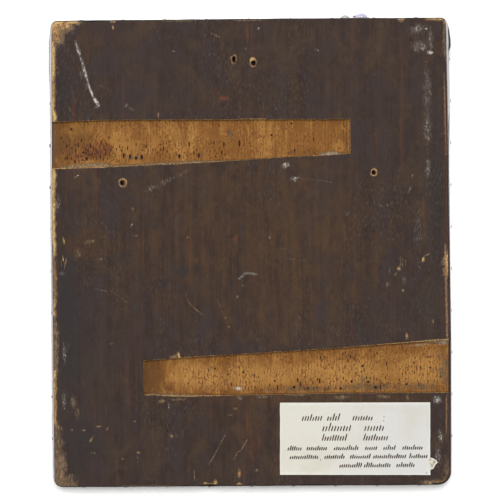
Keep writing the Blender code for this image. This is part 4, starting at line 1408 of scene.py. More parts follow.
def label_mesh():
    """The label, whose corners and edges come away a little."""
    corners = np.array(LABEL_CORNERS)
    edge = divided(corners, LABEL_SPACING)
    sway = 0.1 * soft_noise(*(edge / 3).T, 125)
    edge = edge + sway[:, None] * (edge - corners.mean(axis=0)) / 50
    verts, faces, places = slab(edge, LABEL_SPACING, label_height, PAPER, 127)
    gap = np.tile(line_distance(places, corners), 2)
    values = {"rim": ease(1 - gap / 1.4), "across": (np.tile(places[:, 0], 2) - 18.5) / 100}
    return array_mesh("paper_label.glued", placed(verts), faces, values)


def scrap_mesh():
    """The torn scrap, stuck over the label's edge and curled up at its own."""
    edge = np.array(SCRAP_EDGE)
    middle = edge.mean(axis=0)

    def top(places):
        out = np.hypot(*(places - middle).T) / 4.6
        base = np.where(places[:, 0] < 119.2, label_height(places), BACK + smooth_height(places) + PAPER)
        return base + 0.2 + 0.7 * ease(out - 0.35) * (0.6 + 0.4 * soft_noise(*(places / 2.4).T, 131))

    verts, faces, places = slab(edge, SCRAP_SPACING, top, SCRAP_PAPER, 133)
    gap = np.tile(line_distance(places, divided(edge, SCRAP_SPACING)), 2)
    values = {"rim": ease(1 - gap / 0.9), "glue": ease(gap / 1.5)}
    return array_mesh("paper_scrap.torn", placed(verts), faces, values)


def pen_strokes():
    """Rows of plain slanted ticks that stand apart, with a few dots, and no letters."""
    pick = random.Random(17)
    lines = []
    for y, tall, *spans in PEN_ROWS:
        for start, end in zip(spans[::2], spans[1::2], strict=True):
            for x in np.arange(start, end - 0.4, 0.55 + 0.44 * tall):
                high = tall * pick.uniform(0.95, 1.3) * (1.45 if pick.random() < 0.25 else 1.0)
                lines.append(((x, y), (x + 0.3 * high, y + high)))
    lines += [((x - 0.25, y), (x + 0.25, y + 0.05)) for x, y in PEN_DOTS]
    ticks = []
    for line in lines:
        points = divided(line, 0.5, False)
        along = points[-1] - points[0]
        beside = np.array((-along[1], along[0])) / np.hypot(*along)
        wide = (0.42 + 0.08 * pick.random()) * (1 - 0.4 * np.linspace(-1, 1, len(points)) ** 4)
        rings = [
            np.column_stack((points + side * wide[:, None] * beside, label_height(points) + lift))
            for side, lift in ((1, -0.02), (-1, -0.02), (-1, 0.035), (1, 0.035))
        ]
        ticks.append((np.stack(rings, axis=1).reshape(-1, 3), skin(len(points), 4)))
    verts, faces = joined(ticks)
    return array_mesh("pen_strokes", placed(verts), faces)


def paper(name, look, glue=0.0):
    """Cream paper with faint stains, and with brown glue on it where it is torn off."""
    sheet = Finish(name)
    fibre = sheet.noise(800, 4, 0.7)
    cloud = sheet.noise(40, 3, 0.6)
    colour = sheet.layered(
        look.paper,
        (sheet.between(sheet.attribute("across"), 0.1, 0.9), look.paper_cool),
        (sheet.times(sheet.between(cloud, 0.45, 0.75), 0.4), look.paper_stain),
        (sheet.times(sheet.between(fibre, 0.5, 0.75), 0.25), look.paper_stain),
        (sheet.times(sheet.attribute("rim"), sheet.between(fibre, 0.3, 0.7, 0.2, 0.6)), look.paper_edge),
    )
    if glue:
        stained = sheet.between(sheet.noise(420, 3), 0.4, 0.56, 0.0, glue)
        colour = sheet.mix(sheet.times(stained, sheet.attribute("glue")), colour, look.glue)
    relief = sheet.bump(fibre, 0.00004, 0.4)
    matt = sheet.between(cloud, 0.3, 0.7, 0.75, 0.9)
    return sheet.finish(Base_Color=colour, Roughness=matt, Normal=relief, Specular_IOR_Level=0.2)


def ink(look):
    """Dark ink that thins where the pen ran dry."""
    pen = Finish("pen_ink")
    flow = pen.between(pen.noise(700, 3), 0.35, 0.65)
    colour = pen.mix(flow, look.ink, look.ink_thin)
    return pen.finish(Base_Color=colour, Roughness=pen.between(flow, 0, 1, 0.5, 0.75), Specular_IOR_Level=0.2)


# ---- the stones on the top wall


def dome(wide, high, rise, rows=9, foot=0.25):
    """Rings of a cabochon: a short upright girdle, then a dome."""
    rings = [(wide, high, 0.0), (wide * 1.02, high * 1.02, foot)]
    for turn in np.arange(1, rows) * math.pi / 2 / rows:
        rings.append((wide * math.cos(turn), high * math.cos(turn), foot + (rise - foot) * math.sin(turn)))
    return rings


DOME_MORE = 0.7  # how much higher the stone stands than its plain solid
BEAD_SHIFT = (1.9, 0, 0)  # the bead sits close against the stone
LEAF_LONG, LEAF_WIDE, LEAF_PLACE = 6.4, 3.8, 64.6  # its length, width and x


def node_foot(name):
    """The middle of a node's face on the wall, and its size, in millimetres."""
    low, high = node_box(name)
    return np.array(((low[0] + high[0]) / 2, low[1], (low[2] + high[2]) / 2)), high - low


def curled_leaf():
    """A small arched leaf, pointed at both ends, that stands out from the setting's plate."""

    def half(x):
        t = np.clip(x / LEAF_LONG + 0.5, 0, 1)
        return LEAF_WIDE / 2 * (0.05 + 0.95 * (4 * t * (1 - t)) ** 0.7)

    def arched(places):
        t, s = np.clip(places[:, 0] / LEAF_LONG + 0.5, 0, 1), np.abs(places[:, 1]) / half(places[:, 0])
        return 0.5 + np.sin(math.pi * t) ** 0.8 * (1.9 - 1.1 * s * s - 0.12 * (1 - np.clip(4 * s, 0, 1)))

    x = np.linspace(-LEAF_LONG / 2, LEAF_LONG / 2, 15)
    outline = np.column_stack((np.append(x, x[::-1]), np.append(-half(x), half(x))))
    verts, faces, _ = slab(outline, 0.45, arched, 0.35, 7)
    return verts[:, [0, 2, 1]], faces[:, ::-1]


def setting_mesh():
    """A scalloped plate with a beaded bezel, a bead cup and a small leaf."""
    middle, size = node_foot("stone_setting")
    stone, stone_size = node_foot("lilac_stone")
    bead = node_foot("purple_bead")[0]

    def scalloped(turn, row):
        square = (np.abs(np.cos(turn)) ** 3 + np.abs(np.sin(turn)) ** 3) ** (-1 / 3)
        return square * (0.975 - 0.025 * np.cos(22 * turn))

    rows = ((0.97, 0.0), (1.0, 0.15), (0.95, 0.3), (0.86, 0.24), (0.4, 0.26))
    parts = [lathed([(size[0] / 2 * s, size[2] / 2 * s, out) for s, out in rows], 96, middle, edge=scalloped)]
    wide, high = stone_size[0] / 2, stone_size[2] / 2
    seat = np.array((stone[0], middle[1] + 0.2, stone[2]))
    bezel = ((1.2, 0.0), (1.16, 0.4), (1.03, 0.6), (0.97, 0.4), (0.97, 0.0))
    parts.append(lathed([(wide * s, high * s, out) for s, out in bezel], 40, seat))
    for turn in np.arange(26) * math.tau / 26:
        grain = seat + np.array((1.3 * wide * math.cos(turn), 0.05, 1.3 * high * math.sin(turn)))
        parts.append(lathed(dome(0.42, 0.42, 0.35, 4, 0.1), 8, grain))
    cup = ((1.7, 0.0), (1.6, 0.3), (1.3, 0.4), (1.2, 0.1))
    bead_seat = (bead[0], seat[1], bead[2]) + np.array(BEAD_SHIFT)
    parts.append(lathed([(s, s, out) for s, out in cup], 20, bead_seat))
    leaf_verts, leaf_faces = curled_leaf()
    parts.append((leaf_verts + (SHIFT[0] / MM + LEAF_PLACE, middle[1], middle[2] + 0.2), leaf_faces))
    verts, faces = joined(parts)
    return smooth(array_mesh("stone_setting.worked", verts * MM, faces))


def stone_mesh(name, rows, steps, spread=0.98, more=DOME_MORE, shift=(0, 0, 0)):
    """A polished dome in its node's place, spread and raised a little."""
    foot, size = node_foot(name)
    rings = dome(size[0] / 2 * spread, size[2] / 2 * spread, size[1] + more, rows)
    verts, faces = lathed(rings, steps, foot + shift)
    return smooth(array_mesh(name + ".polished", verts * MM, faces))


def glass(name, colour, depth_colour, clear):
    """Polished glass with faint clouds in it."""
    stone = Finish(name)
    cloud = stone.between(stone.noise(260, 3), 0.35, 0.65)
    tone = stone.mix(cloud, colour, depth_colour)
    gloss = stone.between(stone.noise(700, 2), 0.4, 0.7, 0.05, 0.14)
    polish = {"Roughness": gloss, "Coat_Weight": 0.6, "Coat_Roughness": 0.04}
    return stone.finish(Base_Color=tone, Transmission_Weight=clear, IOR=1.52, **polish)


# ---- the embroidery

CLOTH_SPACING = 1.25
CLOTH_FACE = 2.75  # the ground's face, with the stitching standing towards the front
CLOTH_BACK = 3.32
# Bars of the cross, and the steps under it: middle x, y, half length, half width, turn in degrees
CROSS_BARS = numbers("0 6 84 6.6 90, 0 66 22 5.6 0, 0 36 50 6.6 0, 0 -36 27 5.6 18")
STEP_BARS = numbers("0 -88.4 58 4.4 0, 0 -79.6 44 4.2 0, 0 -71.4 31 4 0")
CROSSING = (0.0, 36.0)
HALO = 27.0  # the radius of its middle
HALO_CORDS = (23.2, 30.8)
RAYS = 32
RAY_ENDS = (52.0, 43.0)  # how far out the long and the short rays reach
CLOTH_BORDER = 22
BORDER_CORDS = ((5.6, 0.6), (22.6, 0.6), (24.6, 0.45))  # how far in each lies, and its half width
CLOTH_VINE = 36.0
CORD_SPACING = 0.5
CORD_STRANDS = 2
CORD_STEPS = 8
CORD_PITCH = 2.4
PEARL = 1.5
HALO_PEARLS = 40


def bar_gap(x, y, bar):
    """How far outside a bar each place is; inside it the gap is negative."""
    at_x, at_y, half, wide, turn = bar
    along, beside = turned(x - at_x, y - at_y, math.radians(turn))
    return np.maximum(np.abs(along) - half, np.abs(beside) - wide)


def stitched(x, y, half):
    """The relief of the stitching in mm, and where it is gold, silver and blue, round the cloth's middle."""
    cross = np.minimum.reduce([bar_gap(x, y, bar) for bar in CROSS_BARS])
    steps = np.minimum.reduce([bar_gap(x, y, bar) for bar in STEP_BARS])
    gold = ease(-np.minimum(cross, steps) / 0.6)
    height = 0.95 * ease(-cross / 3.2 + 0.1) + 0.6 * ease(-steps / 2.4 + 0.1)
    reach, turn = np.hypot(x - CROSSING[0], y - CROSSING[1]), np.arctan2(y - CROSSING[1], x - CROSSING[0])
    hoop = np.abs(reach - HALO)
    silver = ease((3.4 - hoop) / 0.6) * (cross > 1.2)
    height = np.maximum(height, 0.6 * ridge(hoop / 3.6) * (cross > 1.2))
    turn = turn / (math.tau / RAYS)
    ray_end = np.where(np.floor(turn) % 2 == 0, *RAY_ENDS)
    ray_wide = np.clip((ray_end - reach) / (ray_end - 30.0), 0, 1)
    ray = ease((0.42 * ray_wide - np.abs(turn % 1.0 - 0.5)) * 12) * (reach > 31.5) * (cross > 1.4)
    gold = np.maximum(gold, ray)
    height = np.maximum(height, 0.5 * ray)
    over, u, v, wave = round_border(x, y, half - CLOTH_BORDER, (23, 23), CLOTH_VINE)
    in_side = (over.min(axis=1) < 0) & (np.abs(v) < 9)
    flowers, leaves = (part * in_side for part in vine(u, v, wave, 2.6, (6.0, 5), 4.0, (8.0, 2.6)))
    blue = ease(flowers * 3)
    gold = np.maximum(gold, ease(leaves * 3))
    height = np.maximum.reduce((height, 0.75 * flowers, 0.7 * leaves))
    corner = over.min(axis=1) > 0
    rose = petals(over[:, 0] - 11.5, over[:, 1] - 11.5, 8.6, 8) * corner
    gold = np.maximum(gold, ease(rose * 3))
    height = np.maximum(height, 0.9 * rose)
    blue = blue * (gold < 0.5)
    return height, gold, silver, blue


def cloth_frame():
    """The embroidered cloth's middle and half size, in millimetres from the board's middle."""
    low, high = (np.array(corner[:2]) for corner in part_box("embroidered_cloth"))
    return ((low + high) / 2 - SHIFT) / MM, (high - low) / 2 / MM


def cloth_mesh():
    """The stretched cloth with its padded stitching, which stands towards the front."""
    middle, half = cloth_frame()
    corners = middle + half * SQUARE
    verts, faces, places = slab(corners, CLOTH_SPACING, lambda at: np.full(len(at), CLOTH_BACK), 0, 141)
    x, y = (places - middle).T
    height, gold, silver, blue = stitched(x, y, half)
    count = len(places)
    sag = 0.12 * soft_noise(x / 34, y / 34, 143) + 0.04 * soft_noise(x / 7, y / 7, 145)
    verts[count:, 2] = CLOTH_FACE + sag - height * 1.1
    values = {key: np.tile(part, 2) for key, part in (("gold", gold), ("silver", silver), ("blue", blue))}
    return array_mesh("embroidered_cloth.stitched", placed(verts), faces, values)


def cord_tube(points, radius, closed):
    """A twisted cord of stitching along a line of x, y, z."""
    if closed:
        along = np.roll(points, -1, axis=0) - np.roll(points, 1, axis=0)
    else:
        along = np.gradient(points, axis=0)
    along /= np.linalg.norm(along, axis=1)[:, None]
    beside = np.cross(along, (0.0, 0.0, 1.0))
    beside /= np.linalg.norm(beside, axis=1)[:, None]
    up = np.cross(beside, along)
    run = np.cumsum(np.linalg.norm(np.roll(points, 1, axis=0) - points, axis=1))
    rings = []
    for turn in np.arange(CORD_STEPS) * math.tau / CORD_STEPS:
        reach = radius * (1 + 0.22 * np.cos(CORD_STRANDS * turn - run / CORD_PITCH * math.tau))
        rings.append(points + (beside * math.cos(turn) + up * math.sin(turn)) * reach[:, None])
    return np.stack(rings, axis=1).reshape(-1, 3), skin(len(points), CORD_STEPS, closed)


def stretches(line, shown):
    """The stretches of a closed line that show, each with whether it is the whole of it."""
    if shown.all():
        return [(line, True)]
    start = int(np.argmin(shown))
    line, shown = np.roll(line, -start, axis=0), np.roll(shown, -start)
    breaks = np.flatnonzero(np.diff(shown)) + 1
    parts = zip(np.split(line, breaks), np.split(shown, breaks), strict=True)
    return [(part, False) for part, show in parts if show[0] and len(part) > 4]


def bar_outline(bar):
    """A bar's four corners."""
    at_x, at_y, half, wide, turn = bar
    c, s = math.cos(math.radians(turn)), math.sin(math.radians(turn))
    return SQUARE * (half, wide) @ np.array(((c, s), (-s, c))) + (at_x, at_y)


def cloth_cords():
    """Cords couched round the cross, the steps, the halo and the borders, and along the vine."""
    middle, half = cloth_frame()
    lines = []
    for bar in CROSS_BARS + STEP_BARS:
        edge = divided(bar_outline(bar), CORD_SPACING)
        others = [bar_gap(*edge.T, other) for other in CROSS_BARS + STEP_BARS if other != bar]
        lines += [(*part, 0.62) for part in stretches(edge, np.minimum.reduce(others) > -0.2)]
    for radius in HALO_CORDS:
        turn = np.arange(0, math.tau, CORD_SPACING / radius)
        hoop = radius * np.column_stack((np.cos(turn), np.sin(turn))) + CROSSING
        clear = np.minimum.reduce([bar_gap(*hoop.T, bar) for bar in CROSS_BARS]) > 0.9
        lines += [(*part, 0.5) for part in stretches(hoop, clear)]
    for inset, size in BORDER_CORDS:
        lines.append((divided((half - inset) * SQUARE, CORD_SPACING), True, size))
    for axis in (0, 1):
        length = 2 * half[1 - axis] - 2 * CLOTH_BORDER
        u = np.arange(-length / 2, length / 2 + 0.1, CORD_SPACING)
        v = 5.2 * np.sin(math.tau * u * round(length / CLOTH_VINE) / length) + half[axis] - 10.5
        for sign in (1, -1):
            lines.append((np.column_stack((sign * v, u) if axis == 0 else (u, sign * v)), False, 0.5))
    cords = []
    for line, closed, size in lines:
        rise = np.convolve(np.pad(stitched(*line.T, half)[0], 3, mode="edge"), np.ones(7) / 7, mode="valid")
        level = CLOTH_FACE - rise * 0.9 - size * 0.55
        cords.append(cord_tube(np.column_stack((line + middle, level)), size, closed))
    verts, faces = joined(cords)
    return smooth(array_mesh("gold_cords", placed(verts), faces))


def pearls():
    """Seed pearls strung along the cross and the halo."""
    middle, half = cloth_frame()
    places = []
    for at_x, at_y, long, _, turn in CROSS_BARS:
        along = np.arange(-long + 3.2, long - 3.0, 2 * PEARL + 1.2)[:, None]
        places += [*(along * (math.cos(math.radians(turn)), math.sin(math.radians(turn))) + (at_x, at_y))]
    turn = math.tau * (np.arange(HALO_PEARLS) + 0.5) / HALO_PEARLS
    places += [*(HALO * np.column_stack((np.cos(turn), np.sin(turn))) + CROSSING)]
    kept = []
    for place in places:
        if all(math.dist(place, other) > 2 * PEARL for other in kept):
            kept.append(place)
    rings = np.array([(math.sin(t), math.sin(t), -0.55 * math.cos(t)) for t in np.arange(1, 6) * math.pi / 6])
    levels = CLOTH_FACE - 1.1 * stitched(*np.array(kept).T, half)[0] - 0.25
    beads = []
    for index, (place, level) in enumerate(zip(kept, levels, strict=True)):
        size = 0.72 * PEARL * (0.92 + 0.16 * lattice(index, 3, 151))
        beads.append(lathed(rings * size, 9, (*(place + middle), level), (0, 0, -1)))
    verts, faces = joined(beads)
    return smooth(array_mesh("seed_pearls", placed(verts), faces))


def embroidery(look):
    """Crimson velvet with couched gold, silver and blue silk stitching, with painted highlights and shade
    along the threads.
    """
    cloth = Finish("embroidery")
    pile = cloth.noise(1500, 3, 0.7)
    shade = cloth.noise(34, 3, 0.6)

    def threads(direction, turn):
        mapped = cloth.node("ShaderNodeMapping", {"Vector": cloth.place, "Rotation": (0.0, 0.0, turn)})
        return cloth.wave(mapped.outputs[0], 300.0, 0.6, 1.0, 2.0, bands_direction=direction)

    lay, tie = threads("X", 0.6), threads("Y", 0.6)
    thread = cloth.math("MULTIPLY_ADD", tie, 0.35, lay)
    # Painted highlight and shade on the stitching: each thread's crown is lighter and the hollows between
    # threads darker
    lit = cloth.between(thread, 0.2, 1.1)
    worked = [cloth.attribute(key) for key in ("gold", "silver", "blue")]
    gold, silver, blue = (cloth.between(share, 0.35, 0.6) for share in worked)
    colour = cloth.layered(
        look.velvet,
        (cloth.between(shade, 0.35, 0.65), look.velvet_light),
        (cloth.between(pile, 0.45, 0.7, 0.0, 0.5), look.velvet_dark),
        (gold, cloth.mix(lit, look.gold_dark, look.gold)),
        (silver, cloth.mix(lit, look.silver_thread_shade, look.silver_thread)),
        (blue, cloth.mix(cloth.between(lay, 0.1, 0.9), look.blue_dark, look.blue)),
    )
    metallic = cloth.times(cloth.math("MAXIMUM", gold, silver), 0.75)
    stitched_here = cloth.math("MAXIMUM", metallic, blue)
    rough_cloth = cloth.between(stitched_here, 0.0, 0.75, 0.92, 0.4)
    relief = cloth.bump(cloth.times(thread, stitched_here), 0.00022, 0.7)
    relief = cloth.bump(pile, 0.00012, 0.4, relief)
    sheen = {"Roughness": rough_cloth, "Sheen_Weight": 0.35, "Sheen_Roughness": 0.4}
    return cloth.finish(Base_Color=colour, Metallic=metallic, Normal=relief, **sheen)


def twisted_gold(look):
    """Gold cord, worn dull in places."""
    cord = Finish("gold_cord")
    wear = cord.between(cord.noise(160, 3), 0.4, 0.65)
    strand = cord.noise(1800, 2)
    colour = cord.mix(wear, look.gold, look.gold_dark)
    gloss = cord.between(wear, 0, 1, 0.3, 0.5)
    relief = cord.bump(strand, 0.00008, 0.5)
    return cord.finish(Base_Color=colour, Metallic=0.85, Roughness=gloss, Normal=relief)


def pearl(look):
    """Pearl with a soft sheen."""
    bead = Finish("seed_pearl")
    tone = bead.between(bead.noise(120, 2), 0.3, 0.7)
    colour = bead.mix(tone, look.pearl, look.pearl_warm)
    gloss = bead.between(tone, 0, 1, 0.2, 0.34)
    return bead.finish(Base_Color=colour, Roughness=gloss, Coat_Weight=0.5, Coat_Roughness=0.15)


# ---- what a user can change


def tint(name, description, colour):
    """A colour that a user can change."""
    return FloatVectorProperty(
        name=name, description=description, subtype="COLOR", size=3, min=0, max=1, default=colour
    )


class BoardLook(bpy.types.PropertyGroup):
    stain: tint("Stain", "The stain's usual colour", (0.0408, 0.0246, 0.0190))
    stain_dark: tint("Dark stain", "The stain in the grain's hollows", (0.0210, 0.0120, 0.0098))
    stain_grey: tint("Grey stain", "The stain where it has gone dull", (0.0295, 0.0215, 0.0215))
    stain_olive: tint("Olive stain", "The stain where it has yellowed", (0.0500, 0.0322, 0.0172))
    stain_warm: tint("Warm stain", "The browner stain over the middle", (0.0630, 0.0318, 0.0132))
    stain_dull: tint("Damp stain", "The darker, colder stain at the left", (0.0205, 0.0170, 0.0178))
    stain_red: tint("Red streaks", "Reddish streaks in the stain", (0.115, 0.032, 0.012))
    dust: tint("Dust", "Dust in the grain", (0.095, 0.078, 0.060))
    rubbed: tint("Rubbed wood", "Bare wood at worn arrises and nicks", (0.44, 0.29, 0.12))
    thinned: tint("Thinned stain", "Worn stain that lets the wood through", (0.225, 0.165, 0.100))
    rubbed_dark: tint("Soiled bare wood", "The darker fibres of the bare wood", (0.115, 0.060, 0.028))
    rubbed_red: tint("Orange bare wood", "Bare wood that keeps some stain", (0.22, 0.098, 0.034))
    raw: tint("Groove wood", "The unstained wood of the grooves", (0.26, 0.118, 0.028))
    raw_dark: tint("Groove grain", "The dark fibres in the grooves", (0.155, 0.064, 0.016))
    raw_gold: tint("Groove highlights", "The golden wood in the grooves", (0.37, 0.19, 0.052))
    raw_brown: tint("Brown groove wood", "The browner stretches of the grooves", (0.088, 0.042, 0.014))
    raw_fleck: tint("Groove flecks", "Small dark flecks in the grooves", (0.075, 0.030, 0.012))
    raw_red: tint("Red stain in the grooves", "The red-brown stain in the grooves", (0.120, 0.034, 0.012))
    raw_grey: tint("Grey stain in the grooves", "The greyed wood in the grooves", (0.075, 0.056, 0.037))
    torn: tint("Torn wood", "The pale torn wood of the lips", (0.50, 0.40, 0.25))
    chalk: tint("Chalk", "Chalk and plaster marks", (0.44, 0.42, 0.37))
    # In the holes and along the right arris this colour is painted shade; among the grooves' red stains it
    # makes dark specks
    hole: tint("Holes", "The inside of worm and nail holes", (0.026, 0.018, 0.017))


class CoverLook(bpy.types.PropertyGroup):
    silver: tint("Silver", "The cover's bright silvering", (0.52, 0.51, 0.50))
    silver_dull: tint("Dull silver", "The silvering where it has gone dull", (0.33, 0.32, 0.315))
    # scaled down, the tarnish colour is also the painted shade on the cover's rim
    tarnish: tint("Tarnish", "Brown tarnish in the hollows", (0.075, 0.062, 0.052))
    dust: tint("Dusty rim", "The dust on the cover's turned-out rim", (0.47, 0.445, 0.475))
    nail: tint("Nails", "The nail heads", (0.30, 0.27, 0.235))
    nail_dull: tint("Dull nails", "The nail heads' dull patches", (0.16, 0.135, 0.11))


class ClothLook(bpy.types.PropertyGroup):
    velvet: tint("Velvet", "The cloth's crimson ground", (0.20, 0.012, 0.022))
    velvet_light: tint("Faded velvet", "The ground where it has faded", (0.29, 0.030, 0.034))
    velvet_dark: tint("Dark velvet", "The hollows of the pile", (0.07, 0.004, 0.008))
    gold: tint("Gold thread", "The couched gold thread", (0.78, 0.54, 0.19))
    # In the embroidery this is the painted shade between the gold threads; on the cords it is the gold's
    # worn, dull places
    gold_dark: tint("Dull gold thread", "The gold thread's dull places", (0.36, 0.215, 0.062))
    silver_thread: tint("Silver thread", "The halo's silver thread", (0.66, 0.65, 0.60))
    # the painted shade between the silver threads
    silver_thread_shade: tint("Dull silver thread", "The silver thread's dull places", (0.27, 0.25, 0.21))
    blue: tint("Blue silk", "The flowers' silk", (0.10, 0.20, 0.42))
    blue_dark: tint("Dark blue silk", "The silk's shade", (0.03, 0.07, 0.19))
    pearl: tint("Seed pearls", "The pearls on the cross", (0.80, 0.77, 0.71))
    pearl_warm: tint("Warm pearls", "The pearls' warmer shade", (0.70, 0.60, 0.47))


class StonesLook(bpy.types.PropertyGroup):
    lilac: tint("Lilac glass", "The stone's light places", (0.70, 0.66, 0.82))
    lilac_deep: tint("Deep lilac", "The stone's deeper places", (0.50, 0.45, 0.66))
    purple: tint("Purple glass", "The bead's glass", (0.21, 0.028, 0.25))
    purple_deep: tint("Deep purple", "The bead's deeper places", (0.10, 0.014, 0.14))
    clear: FloatProperty(
        name="Clearness", description="How clear the stone is", subtype="FACTOR", min=0, max=1, default=0.35
    )


class PapersLook(bpy.types.PropertyGroup):
    paper: tint("Paper", "The label's cream paper", (0.516, 0.503, 0.440))
    paper_cool: tint("Cooler paper", "The label's greyer right side", (0.495, 0.490, 0.472))
    paper_stain: tint("Paper stain", "Faint stains in the paper", (0.43, 0.395, 0.31))
    paper_edge: tint("Paper edge", "The paper's torn white edge", (0.66, 0.65, 0.61))
    glue: tint("Glue", "Brown glue on the torn scrap", (0.22, 0.11, 0.045))
    ink: tint("Ink", "The pen strokes", (0.022, 0.014, 0.013))
    ink_thin: tint("Thin ink", "Where the pen ran dry", (0.085, 0.055, 0.042))


class StageLook(bpy.types.PropertyGroup):
    distance: FloatProperty(
        name="Camera distance", description="From the board's back", subtype="DISTANCE",
        unit="LENGTH", min=0.5, default=2.0
    )
    view_width: FloatProperty(
        name="View width", description="What the camera takes in at the board's back", subtype="DISTANCE",
        unit="LENGTH", min=0.1, default=0.33365
    )
    roll: FloatProperty(
        name="Camera roll", description="About its own axis", subtype="ANGLE", default=math.radians(-0.42)
    )
    floor: tint("Floor", "The plain floor's colour", (0.93, 0.93, 0.92))


# ---- operators

FLOOR_HALF = 5
FLOOR_DROP = 0.0002  # how far the floor lies below the icon
# Each lamp's name, place, width and power
LAMPS = (("overhead", (0.05, 0.35, 2.6), 0.8, 62.0), ("fill", (-0.9, 1.2, 1.7), 1.0, 8.0))
CAMERA_PLACE = (-0.00078, 0.00083)  # what the camera looks down on


class ICON_OT_board(bpy.types.Operator):
    """Builds the worn board with its grooves and holes"""

    bl_idname = "icon_panel.board"
    bl_label = "Board"

    def execute(self, context):
        finish = stained_wood(context.scene.icon_board)
        new_piece("board_worn", smooth(board_mesh()), ["wooden_board"], finish)
        return {"FINISHED"}


class ICON_OT_cover(bpy.types.Operator):
    """Builds the silvered sheet cover and the nails that hold it"""

    bl_idname = "icon_panel.cover"
    bl_label = "Cover and nails"

    def execute(self, context):
        look = context.scene.icon_cover
        finish = silvered("silvered_sheet", look.silver, look.silver_dull, look.tarnish, dust=look.dust)
        new_piece("cover_bent", smooth(cover_mesh(), 75.0), ["metal_cover"], finish)
        finish = silvered("nail_metal", look.nail, look.nail_dull, look.tarnish, 0.4)
        new_piece("cover_nail_heads", nail_heads(), NAILS, finish)
        return {"FINISHED"}


class ICON_OT_cloth(bpy.types.Operator):
    """Builds the stretched embroidered cloth with its cords and pearls"""

    bl_idname = "icon_panel.cloth"
    bl_label = "Embroidery"

    def execute(self, context):
        look = context.scene.icon_cloth
        finish = embroidery(look)
        cloth = new_piece("cloth_stitched", cloth_mesh(), ["embroidered_cloth"], finish)
        cords = new_piece("cloth_gold_cords", cloth_cords(), (), twisted_gold(look))
        beads = new_piece("cloth_seed_pearls", pearls(), (), pearl(look))
        flat = tuple(2 * side * MM for side in cloth_frame()[1])
        return {"FINISHED"}


class ICON_OT_stones(bpy.types.Operator):
    """Builds the setting on the top wall, its stone and its bead"""

    bl_idname = "icon_panel.stones"
    bl_label = "Setting and stones"

    def execute(self, context):
        look, metal = context.scene.icon_stones, context.scene.icon_cover
        finish = silvered("setting_metal", metal.silver, metal.silver_dull, metal.tarnish, 0.45, metallic=0.3)
        new_piece("setting_worked", setting_mesh(), ["stone_setting"], finish)
        finish = glass("lilac_glass", look.lilac, look.lilac_deep, look.clear)
        new_piece("stone_polished", stone_mesh("lilac_stone", 12, 40), ["lilac_stone"], finish)
        finish = glass("purple_glass", look.purple, look.purple_deep, 0.1)
        bead = stone_mesh("purple_bead", 8, 20, 1.4, DOME_MORE - 1.0, BEAD_SHIFT)
        new_piece("bead_polished", bead, ["purple_bead"], finish)
        return {"FINISHED"}


class ICON_OT_papers(bpy.types.Operator):
    """Builds the glued label with its pen strokes, and the torn scrap"""

    bl_idname = "icon_panel.papers"
    bl_label = "Papers"

    def execute(self, context):
        look = context.scene.icon_papers
        new_piece("label_glued", label_mesh(), ["paper_label"], paper("label_paper", look))
        new_piece("label_pen_strokes", pen_strokes(), (), ink(look))
        new_piece("scrap_torn", scrap_mesh(), ["paper_scrap"], paper("scrap_paper", look, 0.7))
        return {"FINISHED"}


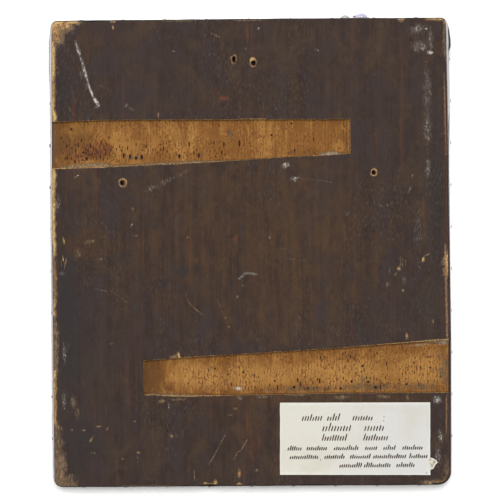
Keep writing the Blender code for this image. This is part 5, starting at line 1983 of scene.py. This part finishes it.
class ICON_OT_stage(bpy.types.Operator):
    """Sets the floor, the lights and the camera"""

    bl_idname = "icon_panel.stage"
    bl_label = "Stage"

    def execute(self, context):
        look = context.scene.icon_stage
        mesh = bpy.data.meshes.new("floor")
        mesh.from_pydata(at_height(FLOOR_HALF * SQUARE, 0).tolist(), [], [(0, 1, 2, 3)])
        floor = bpy.data.objects.new("floor", mesh)
        floor.location.z = -FLOOR_DROP
        paint = Finish("floor_paint")
        patchy = paint.between(paint.noise(6, 2), 0.3, 0.7)
        colour = paint.mix(patchy, look.floor, [channel * 0.985 for channel in look.floor])
        mesh.materials.append(paint.finish(Base_Color=colour, Roughness=0.9, Specular_IOR_Level=0.1))
        context.scene.collection.objects.link(floor)
        floor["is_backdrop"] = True

        world = bpy.data.worlds.new("soft_room")
        world.use_nodes = True
        world.node_tree.nodes["Background"].inputs["Color"].default_value = (1.0, 0.995, 0.985, 1.0)
        world.node_tree.nodes["Background"].inputs["Strength"].default_value = 0.5
        context.scene.world = world
        for name, place, side, power in LAMPS:
            data = bpy.data.lights.new(name, "AREA")
            data.shape = "DISK"
            data.size = side
            data.energy = power
            lamp = bpy.data.objects.new(name, data)
            lamp.location = place
            lamp.rotation_euler = (-Vector(place)).to_track_quat("-Z", "Y").to_euler()
            context.scene.collection.objects.link(lamp)

        data = bpy.data.cameras.new("camera")
        data.sensor_width = 36.0
        data.lens = data.sensor_width * look.distance / look.view_width
        data.clip_end = 50.0
        camera = bpy.data.objects.new("camera", data)
        camera.location = (*CAMERA_PLACE, BOARD_HIGH.z + look.distance)
        camera.rotation_euler = (0.0, 0.0, look.roll)
        context.scene.collection.objects.link(camera)
        context.scene.camera = camera
        context.scene.view_settings.view_transform = "Standard"
        return {"FINISHED"}


class ICON_PT_panel(bpy.types.Panel):
    """The steps that dress the icon panel, and their sizes and colours"""

    bl_idname = "ICON_PT_panel"
    bl_label = "Icon panel"
    bl_space_type = "VIEW_3D"
    bl_region_type = "UI"
    bl_category = "Icon panel"

    def draw(self, context):
        for step, (key, look) in zip(STEPS, LOOKS, strict=True):
            box = self.layout.box()
            box.operator(step.bl_idname)
            for name in look.__annotations__:
                box.prop(getattr(context.scene, key), name)


STEPS = (ICON_OT_board, ICON_OT_cover, ICON_OT_cloth, ICON_OT_stones, ICON_OT_papers, ICON_OT_stage)
LOOKS = (
    ("icon_board", BoardLook),
    ("icon_cover", CoverLook),
    ("icon_cloth", ClothLook),
    ("icon_stones", StonesLook),
    ("icon_papers", PapersLook),
    ("icon_stage", StageLook),
)


def register():
    for cls in [look for _, look in LOOKS] + [*STEPS, ICON_PT_panel]:
        bpy.utils.register_class(cls)
    for key, look in LOOKS:
        setattr(bpy.types.Scene, key, PointerProperty(type=look))


def unregister():
    for key, _ in LOOKS:
        delattr(bpy.types.Scene, key)
    for cls in [ICON_PT_panel, *STEPS] + [look for _, look in LOOKS]:
        bpy.utils.unregister_class(cls)


def main():
    register()
    bpy.ops.icon_panel.board()
    bpy.ops.icon_panel.cover()
    bpy.ops.icon_panel.cloth()
    bpy.ops.icon_panel.stones()
    bpy.ops.icon_panel.papers()
    bpy.ops.icon_panel.stage()
    sizes = {"cad": CAD_BOX, "visual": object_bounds()}
    plain = {key: [list(map(float, corner)) for corner in box] for key, box in sizes.items()}


if __name__ == "__main__":
    main()
